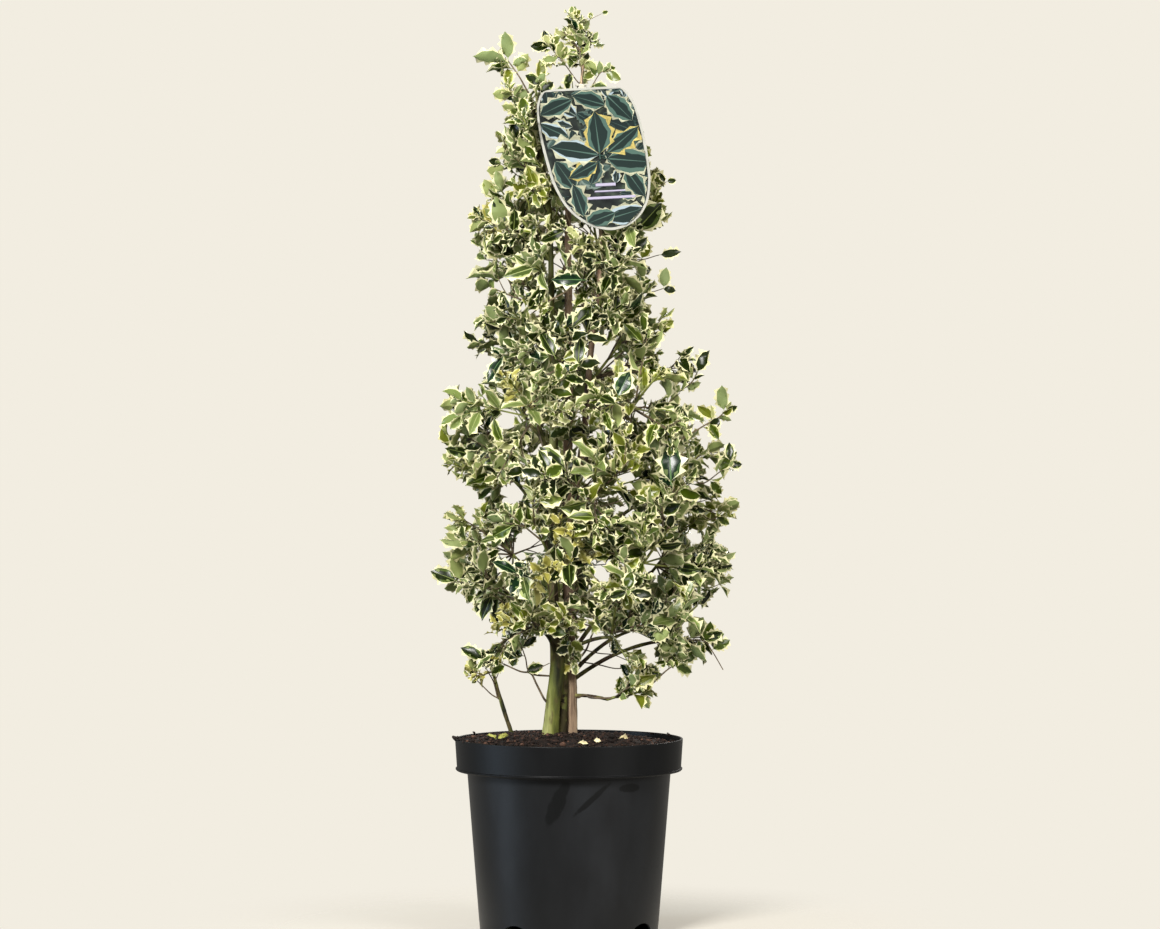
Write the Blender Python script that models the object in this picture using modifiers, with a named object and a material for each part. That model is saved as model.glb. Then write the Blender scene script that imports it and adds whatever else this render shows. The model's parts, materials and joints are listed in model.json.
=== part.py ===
"""A variegated holly tree in a round nursery pot.

The tree is an assembly of separate solids: the pot, its compost, a trunk, a second stem, a leader,
a basal shoot, boughs, masses of foliage, and a plain hanging label. Sizes are in metres and +Z is
up. The origin is the centre of the pot's underside, and the tree's front faces -Y.

Azimuths are in degrees about +Z from +X, which is the tree's right seen from its front.
"""

import math
import random
from functools import partial

import bmesh
import bpy
from mathutils import Matrix, Vector
from mathutils.bvhtree import BVHTree

SEED = "holly"

# Pot and compost
POT_HEIGHT = 0.255
POT_RIM_RADIUS = 0.150
POT_BAND_FOOT_RADIUS = 0.1475
POT_BAND_HEIGHT = 0.042
POT_BODY_TOP_RADIUS = 0.134
POT_BASE_RADIUS = 0.117
POT_WALL = 0.003
POT_FLOOR = 0.004
POT_FOOT_CHAMFER = 0.003
POT_BEAD = 0.0018
POT_STEPS = 24
NOTCH_COUNT = 4
NOTCH_FIRST_AZIMUTH = -38.0
NOTCH_WIDTH = 0.040
NOTCH_HEIGHT = 0.011
NOTCH_DEPTH = 0.012
NOTCH_STEPS = 8
COMPOST_CROWN = 0.2615
COMPOST_EDGE = 0.2455
COMPOST_MOUND_RINGS = 2

# Clearances between solids
GAP = 0.0003
CUT_GAP = 0.0004
LIMB_GUARD = 0.0010
CELL_GUARD = 0.0004
CAP_WELD = 0.00001

# Crown: height, reach to the left, reach to the right
CROWN = (
    (0.330, 0.120, 0.172),
    (0.380, 0.138, 0.210),
    (0.430, 0.138, 0.224),
    (0.480, 0.188, 0.224),
    (0.540, 0.154, 0.222),
    (0.620, 0.164, 0.226),
    (0.680, 0.180, 0.220),
    (0.745, 0.172, 0.186),
    (0.800, 0.136, 0.150),
    (0.870, 0.120, 0.140),
    (0.940, 0.128, 0.132),
    (1.010, 0.110, 0.124),
    (1.070, 0.090, 0.092),
    (1.110, 0.066, 0.050),
    (1.150, 0.034, 0.034),
    (1.190, 0.020, 0.026),
    (1.214, 0.002, 0.026),
)
# The underside of the crown: distance to the right of the pot's axis, height
UNDERSIDE = (
    (-0.120, 0.338),
    (-0.050, 0.350),
    (-0.025, 0.388),
    (0.035, 0.388),
    (0.060, 0.345),
    (0.200, 0.330),
)
LOWEST_LEAF = 0.285

# Limbs: x, y, z and radius of each station
TRUNK = (
    (-0.0265, -0.010, 0.2620, 0.0118),
    (-0.0210, -0.011, 0.3050, 0.0098),
    (-0.0150, -0.013, 0.3600, 0.0096),
    (-0.0190, -0.012, 0.4250, 0.0092),
    (-0.0215, -0.008, 0.5200, 0.0068),
    (-0.0200, -0.006, 0.6800, 0.0052),
    (-0.0230, -0.010, 0.8200, 0.0040),
    (-0.0270, -0.004, 0.9600, 0.0032),
    (-0.0480, 0.002, 1.0500, 0.0028),
    (-0.0800, -0.004, 1.1060, 0.0024),
)
ROOT_FLARE = 0.0035
FLARE_HEIGHT = 0.018
FOOT_HEIGHT = 0.005
FOOT_TAPER = 0.95
SECOND_STEM = (
    (0.0030, 0.012, 0.2620, 0.0086),
    (0.0020, 0.012, 0.3400, 0.0082),
    (-0.0005, 0.012, 0.4300, 0.0076),
    (-0.0015, 0.010, 0.6000, 0.0066),
    (-0.0005, 0.006, 0.8000, 0.0056),
    (-0.0010, 0.002, 0.9450, 0.0040),
    (0.0100, 0.000, 1.0600, 0.0026),
    (0.0190, 0.000, 1.1450, 0.0018),
)
RIGHT_LEADER = (
    (-0.0190, -0.011, 0.4200, 0.0060),
    (-0.0170, 0.033, 0.5000, 0.0054),
    (0.0150, 0.032, 0.6200, 0.0048),
    (0.0290, 0.022, 0.7650, 0.0042),
    (0.0400, 0.016, 0.8500, 0.0035),
    (0.0420, 0.010, 0.9500, 0.0024),
)
BASAL_SHOOT = (
    (-0.0740, 0.034, 0.2560, 0.0030),
    (-0.0850, 0.030, 0.2850, 0.0027),
    (-0.0930, 0.027, 0.3120, 0.0023),
    (-0.1000, 0.023, 0.3380, 0.0020),
)
LIMB_SAMPLES = 2
STEM_RESOLUTION = 2
LIMB_RESOLUTION = 1

# Tiers of boughs: height of the foliage's centre, number round the stem, azimuth of the first,
# and the share of the reach where a bough gives way to its foliage. No share means that the
# foliage leaves the stem itself.
TIERS = (
    (0.412, 5, 352.0, 0.50),
    (0.500, 5, 28.0, 0.48),
    (0.596, 4, 5.0, 0.46),
    (0.692, 4, 48.0, 0.46),
    (0.784, 3, 10.0, None),
    (0.868, 3, 70.0, None),
    (0.950, 3, 190.0, None),
    (1.034, 2, 18.0, None),
    (1.094, 1, 110.0, None),
)
AZIMUTH_SPREAD = 7.0
HEIGHT_SPREAD = 0.014
CENTRE_SHARE = 0.60
TIP_SHARE = 0.74
TIP_RISE = 0.16
BOUGH_RISE = 0.55
LOWEST_BOUGH = 0.328
BOUGH_STEP = 0.008
BOUGH_RADIUS = 0.0040
BOUGH_SAG = 0.10
BOUGH_POINTS = 4
DIRECT_RISE = 0.075

# Foliage
STEM_RADIUS = 0.0026
TWIG_RADIUS = 0.0023
TIP_RADIUS_SHARE = 0.75
STEM_POINTS = 4
STEM_COLLAR = 0.004
TWIG_POINTS = 2
TWIGS_PER_MASS = 4
TWIG_SPACING = 0.055
TWIG_ROOM = 0.0030
TWIG_TRIES = 900
TWIG_INSET_SHARE = 0.12
CELL_SPREAD = 0.115
INNER_SHARE = 0.30
BRANCH_ANGLE = 38.0
LEAVES_PER_TWIG = 4
LEAVES_PER_STEM = 3
LEAF_LENGTH = 0.073
LEAF_WIDTH = 0.043
LEAF_THICKNESS = 0.0026
LEAF_FOLD = 0.0022
LEAF_SINK = 0.012
LEAF_SHOULDER = 0.10
LEAF_SPREAD = 0.66
LEAF_SIZE_SPREAD = 0.16
LEAF_TRIES = 24
LEAF_OVERREACH = 0.015
TIP_LEAN = 0.25
SIDE_LEAN = 1.15
FACE_UP = 0.55
FACE_OUT = 0.60
FACE_SPREAD = 0.75
LEAST_TURN = 0.35
BLADE_START = 0.16
GOLDEN_ANGLE = math.radians(137.508)

# Masses that stand apart: name, limb that holds it, centre, stem's tip, radius, leaf size share
LONE_MASSES = (
    ("foliage_top", "second_stem", (0.012, 0.000, 1.174), (0.014, -0.002, 1.196), 0.038, 0.62),
    ("foliage_left_spire", "trunk", (-0.091, -0.010, 1.146), (-0.095, -0.012, 1.162), 0.038, 0.64),
    ("foliage_basal", "basal_shoot", (-0.110, 0.018, 0.352), (-0.112, 0.018, 0.362), 0.036, 0.56),
    ("foliage_low_right", "bough_low_right", (0.088, -0.030, 0.318), (0.098, -0.034, 0.318), 0.050, 0.70),
)
LONE_INSET_SHARE = 0.40
LONE_TWIGS = 3
LONE_SPACING = 0.026
LOW_RIGHT_ROOT = (0.050, -0.018, 0.307)

# Label: its outline is share of the length down from the top, share of the half width
LABEL_LENGTH = 0.205
LABEL_WIDTH = 0.146
LABEL_THICKNESS = 0.0012
LABEL_TOP = Vector((0.0170, -0.024, 1.108))
LABEL_TILT = 4.0
LABEL_SKEW = 0.115
LABEL_LEAN = 20.0
LABEL_OUTLINE = (
    (0.000, 0.56),
    (0.012, 0.66),
    (0.050, 0.76),
    (0.130, 0.86),
    (0.240, 0.94),
    (0.360, 0.99),
    (0.480, 1.00),
    (0.600, 0.96),
    (0.710, 0.87),
    (0.810, 0.74),
    (0.890, 0.57),
    (0.950, 0.39),
    (0.985, 0.21),
)
LABEL_ROOM = 0.004
STRAP_WIDTH = 0.007
STRAP_SINK = 0.006
STRAP_RING = 0.0085
STRAP_HOLE = 0.0048
STRAP_SIDES = 8

UP = Vector((0.0, 0.0, 1.0))


def make_material(name, colour, roughness):
    """A plain dielectric surface."""
    material = bpy.data.materials.new(name)
    material.use_nodes = True
    shader = material.node_tree.nodes["Principled BSDF"]
    shader.inputs["Base Color"].default_value = (*colour, 1.0)
    shader.inputs["Roughness"].default_value = roughness
    shader.inputs["Metallic"].default_value = 0.0
    return material


def link(name, data, collection, material=None):
    """A new object of this data, in this collection."""
    made = bpy.data.objects.new(name, data)
    collection.objects.link(made)
    if material is not None:
        data.materials.append(material)
    return made


def hide_helper(helper):
    """Marks a cutter or a guide, which is no part of the tree."""
    helper.hide_render = True
    helper.display_type = "WIRE"


def baked(source, name, collection, material):
    """A mesh object that holds the evaluated shape of source, which is removed."""
    bpy.context.view_layer.update()
    graph = bpy.context.evaluated_depsgraph_get()
    mesh = bpy.data.meshes.new_from_object(source.evaluated_get(graph))
    mesh.materials.clear()
    if source.type == "CURVE":
        shape = bmesh.new()
        shape.from_mesh(mesh)
        bmesh.ops.remove_doubles(shape, verts=shape.verts, dist=CAP_WELD)
        shape.to_mesh(mesh)
        shape.free()
    place = source.matrix_world.copy()
    bpy.data.objects.remove(source)
    made = link(name, mesh, collection, material)
    made.matrix_world = place
    return made


def cut(target, cutters):
    """Takes the cutters' space out of target."""
    for cutter in cutters:
        modifier = target.modifiers.new("clear_of_" + cutter.name, "BOOLEAN")
        modifier.operation = "DIFFERENCE"
        modifier.object = cutter


def keep_largest_body(mesh):
    """Drops any scrap that a Boolean left loose, or joined on at a mere point."""
    shape = bmesh.new()
    shape.from_mesh(mesh)
    left = set(shape.faces)
    bodies = []
    while left:
        front = [left.pop()]
        body = list(front)
        while front:
            for edge in front.pop().edges:
                found = [face for face in edge.link_faces if face in left]
                left.difference_update(found)
                body += found
                front += found
        bodies.append(body)
    bodies.sort(key=len)
    for body in bodies[:-1]:
        bmesh.ops.delete(shape, geom=body, context="FACES")
    shape.to_mesh(mesh)
    shape.free()


def between(table, at):
    """The rows of a table, sorted by its first column, read at a value between them."""
    low = table[0]
    for high in table[1:]:
        if at <= high[0]:
            share = max(0.0, (at - low[0]) / (high[0] - low[0]))
            return [a + (b - a) * share for a, b in zip(low, high)]
        low = high
    return list(low)


def crown_axis(height):
    """The crown's middle at this height."""
    _, left, right = between(CROWN, height)
    return Vector(((right - left) / 2, 0.0, height))


def crown_reach(height):
    """The crown's radius about its own middle at this height."""
    _, left, right = between(CROWN, height)
    return (left + right) / 2


def outward(azimuth):
    """The level direction at this azimuth in degrees."""
    return Vector((math.cos(math.radians(azimuth)), math.sin(math.radians(azimuth)), 0.0))


def catmull_rom(stations, samples):
    """Points and radii along a smooth line through stations of x, y, z and radius."""
    rows = [Vector(s) for s in stations]
    rows = [2 * rows[0] - rows[1], *rows, 2 * rows[-1] - rows[-2]]
    found = []
    for before, a, b, after in zip(rows, rows[1:], rows[2:], rows[3:]):
        for i in range(samples):
            t = i / samples
            linear = (b - before) * t
            square = (2 * before - 5 * a + 4 * b - after) * t * t
            cube = (3 * a - before - 3 * b + after) * t * t * t
            found.append(0.5 * (2 * a + linear + square + cube))
    found.append(rows[-2])
    return [row.xyz for row in found], [row[3] for row in found]


def bezier(start, bend, end, count):
    """Points along a quadratic curve."""
    shares = [i / (count - 1) for i in range(count)]
    return [(1 - t) ** 2 * start + 2 * t * (1 - t) * bend + t * t * end for t in shares]


def spot_on(path, share):
    """The place that lies this share of the way along a path."""
    reach = share * (len(path) - 1)
    first = min(int(reach), len(path) - 2)
    return path[first].lerp(path[first + 1], reach - first)


def tapered(first, last, count):
    """Radii that narrow evenly."""
    return [first + (last - first) * i / (count - 1) for i in range(count)]


def sweep(name, points, radii, collection, resolution=LIMB_RESOLUTION, profile=None):
    """A curve object along points, round or in the outline of profile, with filled caps."""
    curve = bpy.data.curves.new(name, "CURVE")
    curve.dimensions = "3D"
    curve.use_fill_caps = True
    curve.twist_mode = "MINIMUM"
    if profile is None:
        curve.bevel_depth = radii[0]
        curve.bevel_resolution = resolution
    else:
        curve.bevel_mode = "OBJECT"
        curve.bevel_object = profile
    spline = curve.splines.new("POLY")
    spline.points.add(len(points) - 1)
    for target, point, radius in zip(spline.points, points, radii):
        target.co = (*point, 1.0)
        target.radius = radius / radii[0] if profile is None else radius
    return link(name, curve, collection)


def triangle_profile(collection):
    """A three-sided outline of unit radius, which twigs are swept with."""
    curve = bpy.data.curves.new("twig_outline", "CURVE")
    curve.dimensions = "2D"
    spline = curve.splines.new("POLY")
    spline.points.add(2)
    for i, point in enumerate(spline.points):
        angle = math.radians(90 - 120 * i)
        point.co = (math.cos(angle), math.sin(angle), 0.0, 1.0)
    spline.use_cyclic_u = True
    made = link("twig_outline", curve, collection)
    hide_helper(made)
    return made


def flat_plate(name, outlines, thickness, collection):
    """A closed plate of this thickness on the XY plane. Outlines after the first are holes."""
    curve = bpy.data.curves.new(name, "CURVE")
    curve.dimensions = "2D"
    curve.fill_mode = "BOTH"
    curve.extrude = thickness / 2
    for outline in outlines:
        spline = curve.splines.new("POLY")
        spline.points.add(len(outline) - 1)
        for target, (across, along) in zip(spline.points, outline):
            target.co = (across, along, 0.0, 1.0)
        spline.use_cyclic_u = True
    return baked(link(name, curve, collection), name, collection, None)


def turned(name, profile, collection, material):
    """A solid of revolution about Z from points of radius and height."""
    mesh = bpy.data.meshes.new(name)
    points = [(radius, 0.0, height) for radius, height in profile]
    mesh.from_pydata(points, [(i, i + 1) for i in range(len(points) - 1)], [])
    made = link(name, mesh, collection, material)
    screw = made.modifiers.new("turn", "SCREW")
    screw.steps = POT_STEPS
    screw.render_steps = POT_STEPS
    screw.use_merge_vertices = True
    screw.merge_threshold = 0.0001
    return made


def pot_side(inset):
    """The pot's side from rim to foot as radius and height, moved in by inset, with its step."""
    band_foot = POT_HEIGHT - POT_BAND_HEIGHT
    return [
        (POT_RIM_RADIUS - inset, POT_HEIGHT),
        (POT_BAND_FOOT_RADIUS - inset, band_foot + 2 * POT_BEAD + inset),
        (POT_BODY_TOP_RADIUS - inset, band_foot + inset),
        (POT_BASE_RADIUS - inset, POT_FOOT_CHAMFER),
    ]


def make_pot(collection, cutters, material):
    """The thin round pot, with a stepped band at its rim and notches at its foot."""
    rim, band_foot, body_top, base = pot_side(0.0)
    _, inner_band_foot, inner_body_top, inner_base = pot_side(POT_WALL)
    profile = [
        (0.0, POT_FLOOR),
        (inner_base[0], POT_FLOOR),
        inner_body_top,
        inner_band_foot,
        (POT_RIM_RADIUS - POT_WALL, POT_HEIGHT - POT_WALL / 2),
        (POT_RIM_RADIUS - POT_WALL / 2, POT_HEIGHT),
        (rim[0], POT_HEIGHT - POT_WALL / 2),
        band_foot,
        (POT_BAND_FOOT_RADIUS + POT_BEAD, band_foot[1]),
        (POT_BAND_FOOT_RADIUS + POT_BEAD, band_foot[1] - POT_BEAD),
        (POT_BAND_FOOT_RADIUS, body_top[1]),
        body_top,
        base,
        (POT_BASE_RADIUS - POT_FOOT_CHAMFER, 0.0),
        (0.0, 0.0),
    ]
    pot = turned("pot", profile, collection, material)
    for i in range(NOTCH_COUNT):
        azimuth = NOTCH_FIRST_AZIMUTH + 360.0 / NOTCH_COUNT * i
        bpy.ops.mesh.primitive_cylinder_add(
            vertices=NOTCH_STEPS, radius=NOTCH_WIDTH / 2, depth=2 * NOTCH_DEPTH
        )
        cutter = bpy.context.object
        cutter.name = f"notch_cutter_{i + 1}"
        flatten = Matrix.Diagonal((2 * NOTCH_HEIGHT / NOTCH_WIDTH, 1.0, 1.0, 1.0))
        turn = Matrix.Rotation(math.radians(azimuth), 4, "Z") @ Matrix.Rotation(math.pi / 2, 4, "Y")
        cutter.data.transform(turn @ flatten)
        cutter.location = POT_BASE_RADIUS * outward(azimuth)
        for held in list(cutter.users_collection):
            held.objects.unlink(cutter)
        cutters.objects.link(cutter)
        hide_helper(cutter)
        cut(pot, [cutter])
    return pot


def compost_rim():
    """The radius of the compost's edge, a hair inside the sloping band of the pot."""
    band_foot = pot_side(POT_WALL)[1]
    lip = (POT_RIM_RADIUS - POT_WALL, POT_HEIGHT - POT_WALL / 2)
    share = (COMPOST_EDGE - band_foot[1]) / (lip[1] - band_foot[1])
    return band_foot[0] + (lip[0] - band_foot[0]) * share - CUT_GAP


def compost_height(radius):
    """The height of the compost's top, which mounds up round the stems."""
    share = min(1.0, radius / compost_rim())
    return COMPOST_EDGE + (COMPOST_CROWN - COMPOST_EDGE) * (1 - share * share)


def make_compost(collection, material):
    """The root ball: it fills the pot, a hair clear of the wall, and is mounded on top."""
    _, band_foot, body_top, base = pot_side(POT_WALL + CUT_GAP)
    rim = compost_rim()
    mound = [rim * i / COMPOST_MOUND_RINGS for i in range(COMPOST_MOUND_RINGS)]
    profile = [(radius, compost_height(radius)) for radius in mound]
    profile += [(rim, COMPOST_EDGE), band_foot, body_top]
    profile += [(base[0], POT_FLOOR + CUT_GAP), (0.0, POT_FLOOR + CUT_GAP)]
    return turned("compost", profile, collection, material)


def stood_on_compost(points, radii):
    """A limb's points and radii, with a level foot just clear of the compost."""
    foot = points[0]
    ground = compost_height(max(0.0, foot.xy.length - radii[0])) + GAP
    flat = [Vector((foot.x, foot.y, ground)), Vector((foot.x, foot.y, ground + FOOT_HEIGHT))]
    return [*flat, *points[1:]], [radii[0], radii[0] * FOOT_TAPER, *radii[1:]]


def make_limbs(collection, cutters, bark, young_bark):
    """The upright limbs and the basal shoot, as name to path, and a wider cutter for each."""
    paths = {}
    for name, stations in (
        ("trunk", TRUNK),
        ("second_stem", SECOND_STEM),
        ("right_leader", RIGHT_LEADER),
        ("basal_shoot", BASAL_SHOOT),
    ):
        points, radii = catmull_rom(stations, LIMB_SAMPLES)
        if name == "trunk":
            radii = [
                radius + ROOT_FLARE * math.exp(-(point.z - points[0].z) / FLARE_HEIGHT)
                for point, radius in zip(points, radii)
            ]
        if name != "right_leader":
            points, radii = stood_on_compost(points, radii)
        paths[name] = (points, radii)
    widened = {}
    for name, (points, radii) in paths.items():
        resolution = STEM_RESOLUTION if name in ("trunk", "second_stem") else LIMB_RESOLUTION
        wide = sweep(name, points, [r + CUT_GAP for r in radii], cutters, resolution)
        widened[name] = baked(wide, name + "_cutter", cutters, None)
        hide_helper(widened[name])
        curve = sweep(name, points, radii, collection, resolution)
        material = young_bark if name in ("trunk", "basal_shoot") else bark
        limb = baked(curve, name, collection, material)
        if name == "right_leader":
            cut(limb, [widened["trunk"]])
            keep_largest_body(baked(limb, name, collection, material).data)
    return paths, widened


def point_at(path, height):
    """The place on a limb at this height, and its radius there."""
    points, radii = path
    for a, b, first, last in zip(points, points[1:], radii, radii[1:]):
        if a.z <= height <= b.z:
            share = (height - a.z) / (b.z - a.z)
            return a.lerp(b, share), first + (last - first) * share
    return (points[0], radii[0]) if height < points[0].z else (points[-1], radii[-1])


def limb_for(paths, direction, height):
    """The name of the upright limb that stands furthest out in this direction."""
    standing = [
        name for name in ("trunk", "second_stem", "right_leader")
        if paths[name][0][0].z + 0.02 < height < paths[name][0][-1].z - 0.01
    ]
    return max(standing, key=lambda name: point_at(paths[name], height)[0].dot(direction))


def label_frame():
    """The matrix of the label: X across it, Y up it from its top edge, Z out of its face."""
    tilt = Matrix.Rotation(math.radians(LABEL_TILT), 4, "Y")
    stand = Matrix.Rotation(math.radians(90.0 - LABEL_LEAN), 4, "X")
    return Matrix.Translation(LABEL_TOP) @ tilt.inverted() @ stand


def label_point(across, down):
    """A point of the label in its own frame, from shares of its half width and its length."""
    return LABEL_WIDTH / 2 * across + LABEL_SKEW * LABEL_LENGTH * down, -LABEL_LENGTH * down


def clear_of_label(point):
    """Whether a point is behind the label, or beside it."""
    x, y, z = label_frame().inverted() @ point
    down, across = between(LABEL_OUTLINE, min(max(-y / LABEL_LENGTH, 0.0), 1.0))
    beside = abs(x - label_point(0.0, down)[0]) > label_point(across, 0.0)[0] + LABEL_ROOM
    return beside or y > LABEL_ROOM or y < -LABEL_LENGTH - LABEL_ROOM or z < -LABEL_ROOM


def ring_of(radius):
    """A circle of points of this radius."""
    turns = [2 * math.pi * i / STRAP_SIDES for i in range(STRAP_SIDES)]
    return [(radius * math.cos(turn), radius * math.sin(turn)) for turn in turns]


def make_label(paths, collection, cutters, material):
    """The flat card, with a strap from its top edge to a ring round the second stem."""
    right = [label_point(across, down) for down, across in LABEL_OUTLINE]
    left = [label_point(-across, down) for down, across in reversed(LABEL_OUTLINE)]
    outline = [*right, label_point(0.0, 1.0), *left]
    card = flat_plate("label", [outline], LABEL_THICKNESS, collection)
    card.matrix_world = label_frame()
    held, _ = point_at(paths["second_stem"], LABEL_TOP.z + STRAP_SINK)
    ring = flat_plate(
        "strap_ring", [ring_of(STRAP_RING), ring_of(STRAP_HOLE)], LABEL_THICKNESS, cutters
    )
    ring.matrix_world = Matrix.Translation(held)
    start = label_frame() @ Vector((0.0, -STRAP_SINK, 0.0))
    aside = Vector((*(LABEL_TOP - held).xy, 0.0)).normalized()
    end = held + aside * (STRAP_RING + STRAP_HOLE) / 2
    half = STRAP_WIDTH / 2
    corners = [(-half, 0.0), (half, 0.0), (half, 1.0), (-half, 1.0)]
    neck = flat_plate("strap_neck", [corners], LABEL_THICKNESS, cutters)
    along = (end - start).normalized()
    side = along.cross(UP).normalized()
    turn = Matrix((side, along, side.cross(along))).transposed().to_4x4()
    stretch = Matrix.Diagonal((1.0, (end - start).length, 1.0, 1.0))
    neck.matrix_world = Matrix.Translation(start) @ turn @ stretch
    for piece in (neck, ring):
        union = card.modifiers.new("join_" + piece.name, "BOOLEAN")
        union.operation = "UNION"
        union.object = piece
    card = baked(card, "label", collection, material)
    for piece in (neck, ring):
        bpy.data.objects.remove(piece)
    return card


def plan_tiers(paths):
    """The masses of the tiers: name, cell centre, stem ends, and the limb that holds each."""
    masses = []
    for tier, (height, count, first, share) in enumerate(TIERS, start=1):
        rng = random.Random(f"{SEED}-tier-{tier}")
        for i in range(count):
            azimuth = first + 360.0 / count * i + rng.uniform(-AZIMUTH_SPREAD, AZIMUTH_SPREAD)
            centre_height = height + rng.uniform(-HEIGHT_SPREAD, HEIGHT_SPREAD)
            direction = outward(azimuth)
            axis, reach = crown_axis(centre_height), crown_reach(centre_height)
            limb = f"bough_{tier}_{i + 1}"
            if share is None:
                start_height = centre_height - DIRECT_RISE
                limb = limb_for(paths, direction, start_height)
                root = point_at(paths[limb], start_height)[0]
            else:
                root = axis + direction * reach * share - UP * BOUGH_SAG * reach
            masses.append({
                "name": f"foliage_{tier}_{i + 1}",
                "centre": axis + direction * reach * CENTRE_SHARE,
                "root": root,
                "tip": axis + direction * reach * TIP_SHARE + UP * TIP_RISE * reach,
                "limb": limb,
                "azimuth": azimuth,
                "start": max(LOWEST_BOUGH + BOUGH_STEP * i, root.z - BOUGH_RISE * reach),
                "reach": reach,
                "radius": None,
                "size": 1.0,
            })
    return masses


def plan_lone_masses(paths):
    """The masses that stand apart: the top, the left spire, the basal tuft and the low spray."""
    masses = []
    for name, limb, centre, tip, radius, size in LONE_MASSES:
        root = paths[limb][0][-1] if limb in paths else Vector(LOW_RIGHT_ROOT)
        masses.append({
            "name": name, "centre": Vector(centre), "root": root, "tip": Vector(tip),
            "limb": limb, "reach": radius, "radius": radius, "size": size,
        })
    return masses


def bough_path(mass, paths):
    """The line of a bough from the middle of its upright limb to its mass of foliage."""
    root = mass["root"]
    if mass["limb"] == "bough_low_right":
        start = point_at(paths["second_stem"], root.z + 0.003)[0]
        bend = start.lerp(root, 0.5) + UP * 0.004
    else:
        direction = outward(mass["azimuth"])
        height = mass["start"]
        start = point_at(paths[limb_for(paths, direction, height)], height)[0]
        bend = start.lerp(root, 0.55) + UP * 0.12 * (root - start).length - direction * 0.01
    return bezier(start, bend, root, BOUGH_POINTS)


def grown_tree(target):
    """A mesh's shape, swollen by the clearance that foliage keeps from a limb."""
    bpy.context.view_layer.update()
    graph = bpy.context.evaluated_depsgraph_get()
    held = target.evaluated_get(graph)
    mesh = held.to_mesh()
    points = [held.matrix_world @ (v.co + v.normal * LIMB_GUARD) for v in mesh.vertices]
    faces = [tuple(face.vertices) for face in mesh.polygons]
    held.to_mesh_clear()
    return BVHTree.FromPolygons(points, faces)


def in_cell(point, index, centres, guard):
    """Whether a point is nearer to its own centre than to any other, with room to spare."""
    own = centres[index]
    for other, centre in enumerate(centres):
        apart = own - centre
        if other != index and (point - (own + centre) / 2).dot(apart) < guard * apart.length:
            return False
    return True


def in_crown(point, mass, overreach):
    """Whether a point is within the crown's outline, or near a mass that stands apart."""
    if point.z < LOWEST_LEAF or not clear_of_label(point):
        return False
    if mass["radius"] is not None:
        return (point - mass["centre"]).length < mass["radius"] + overreach
    if point.z < between(UNDERSIDE, point.x)[1] or point.z > CROWN[-1][0]:
        return False
    return (point - crown_axis(point.z)).xy.length <= crown_reach(point.z) + overreach


def tube(path, radius):
    """Points and faces of a square tube round a path, for tests of clearance."""
    points, faces = [], []
    for a, b in zip(path, path[1:]):
        along = (b - a).normalized()
        side = along.orthogonal() * radius * math.sqrt(2)
        other = side.cross(along)
        first = len(points)
        points += [end + turn for end in (a, b) for turn in (side, other, -side, -other)]
        for i in range(4):
            j = (i + 1) % 4
            faces.append((first + i, first + j, first + 4 + j, first + 4 + i))
    return points, faces


def crosses(points, faces, trees):
    """Whether these faces touch any of the trees' faces."""
    shape = BVHTree.FromPolygons(points, faces)
    return any(shape.overlap(tree) for tree in trees)


def leaf_frame(base, direction, normal, size):
    """The matrix that sets a leaf of unit length with its root at base."""
    along = direction.normalized()
    side = normal.cross(along).normalized()
    turn = Matrix((along, side, along.cross(side))).transposed().to_4x4()
    return Matrix.Translation(base) @ turn @ Matrix.Scale(size, 4)


def leaf_mesh():
    """A leaf of unit length: a flattened eight-faced shape, folded a little along its midrib."""
    shape = bmesh.new()
    bmesh.ops.create_uvsphere(shape, u_segments=4, v_segments=2, radius=0.5)
    width = LEAF_WIDTH / LEAF_LENGTH
    thickness = LEAF_THICKNESS / LEAF_LENGTH
    bmesh.ops.scale(shape, vec=(1.0, width, thickness), verts=shape.verts)
    for vertex in shape.verts:
        if abs(vertex.co.y) > width / 4:
            vertex.co.z += LEAF_FOLD / LEAF_LENGTH
        if abs(vertex.co.x) < 0.25:
            vertex.co.x -= LEAF_SHOULDER
    bmesh.ops.translate(shape, vec=(0.5 - LEAF_SINK, 0.0, 0.0), verts=shape.verts)
    mesh = bpy.data.meshes.new("leaf")
    shape.to_mesh(mesh)
    shape.free()
    return mesh


def branch_point(stem, end):
    """The furthest place along the stem from which the way to end makes a natural angle."""
    widest = math.radians(BRANCH_ANGLE)
    found = stem[1]
    for a, b in zip(stem[1:], stem[2:]):
        for share in (0.0, 0.33, 0.67):
            point = a.lerp(b, share)
            if (end - point).angle(b - a) < widest:
                found = point
    return found


def set_off(mass, paths, boughs):
    """How a mass's stem starts: facing the end of its bough or limb, or inside the limb's side."""
    root, limb = mass["root"], mass["limb"]
    line = boughs[limb] if limb in boughs else paths[limb][0]
    if root != line[-1]:
        return [root]
    along = (line[-1] - line[-2]).normalized()
    return [root + along * CUT_GAP, root + along * STEM_COLLAR]


def grow_stem(mass, paths, boughs):
    """Adds the mass's stem and its own seeded numbers to its entry."""
    rng = random.Random(f"{SEED}-{mass['name']}")
    first = set_off(mass, paths, boughs)
    root, tip = first[-1], mass["tip"]
    length = (tip - root).length
    bend = root.lerp(tip, 0.5) + UP * 0.06 * length + outward(rng.uniform(0, 360)) * 0.04 * length
    mass["stem"] = [*first[:-1], *bezier(root, bend, tip, STEM_POINTS)]
    mass["rng"] = rng


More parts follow.
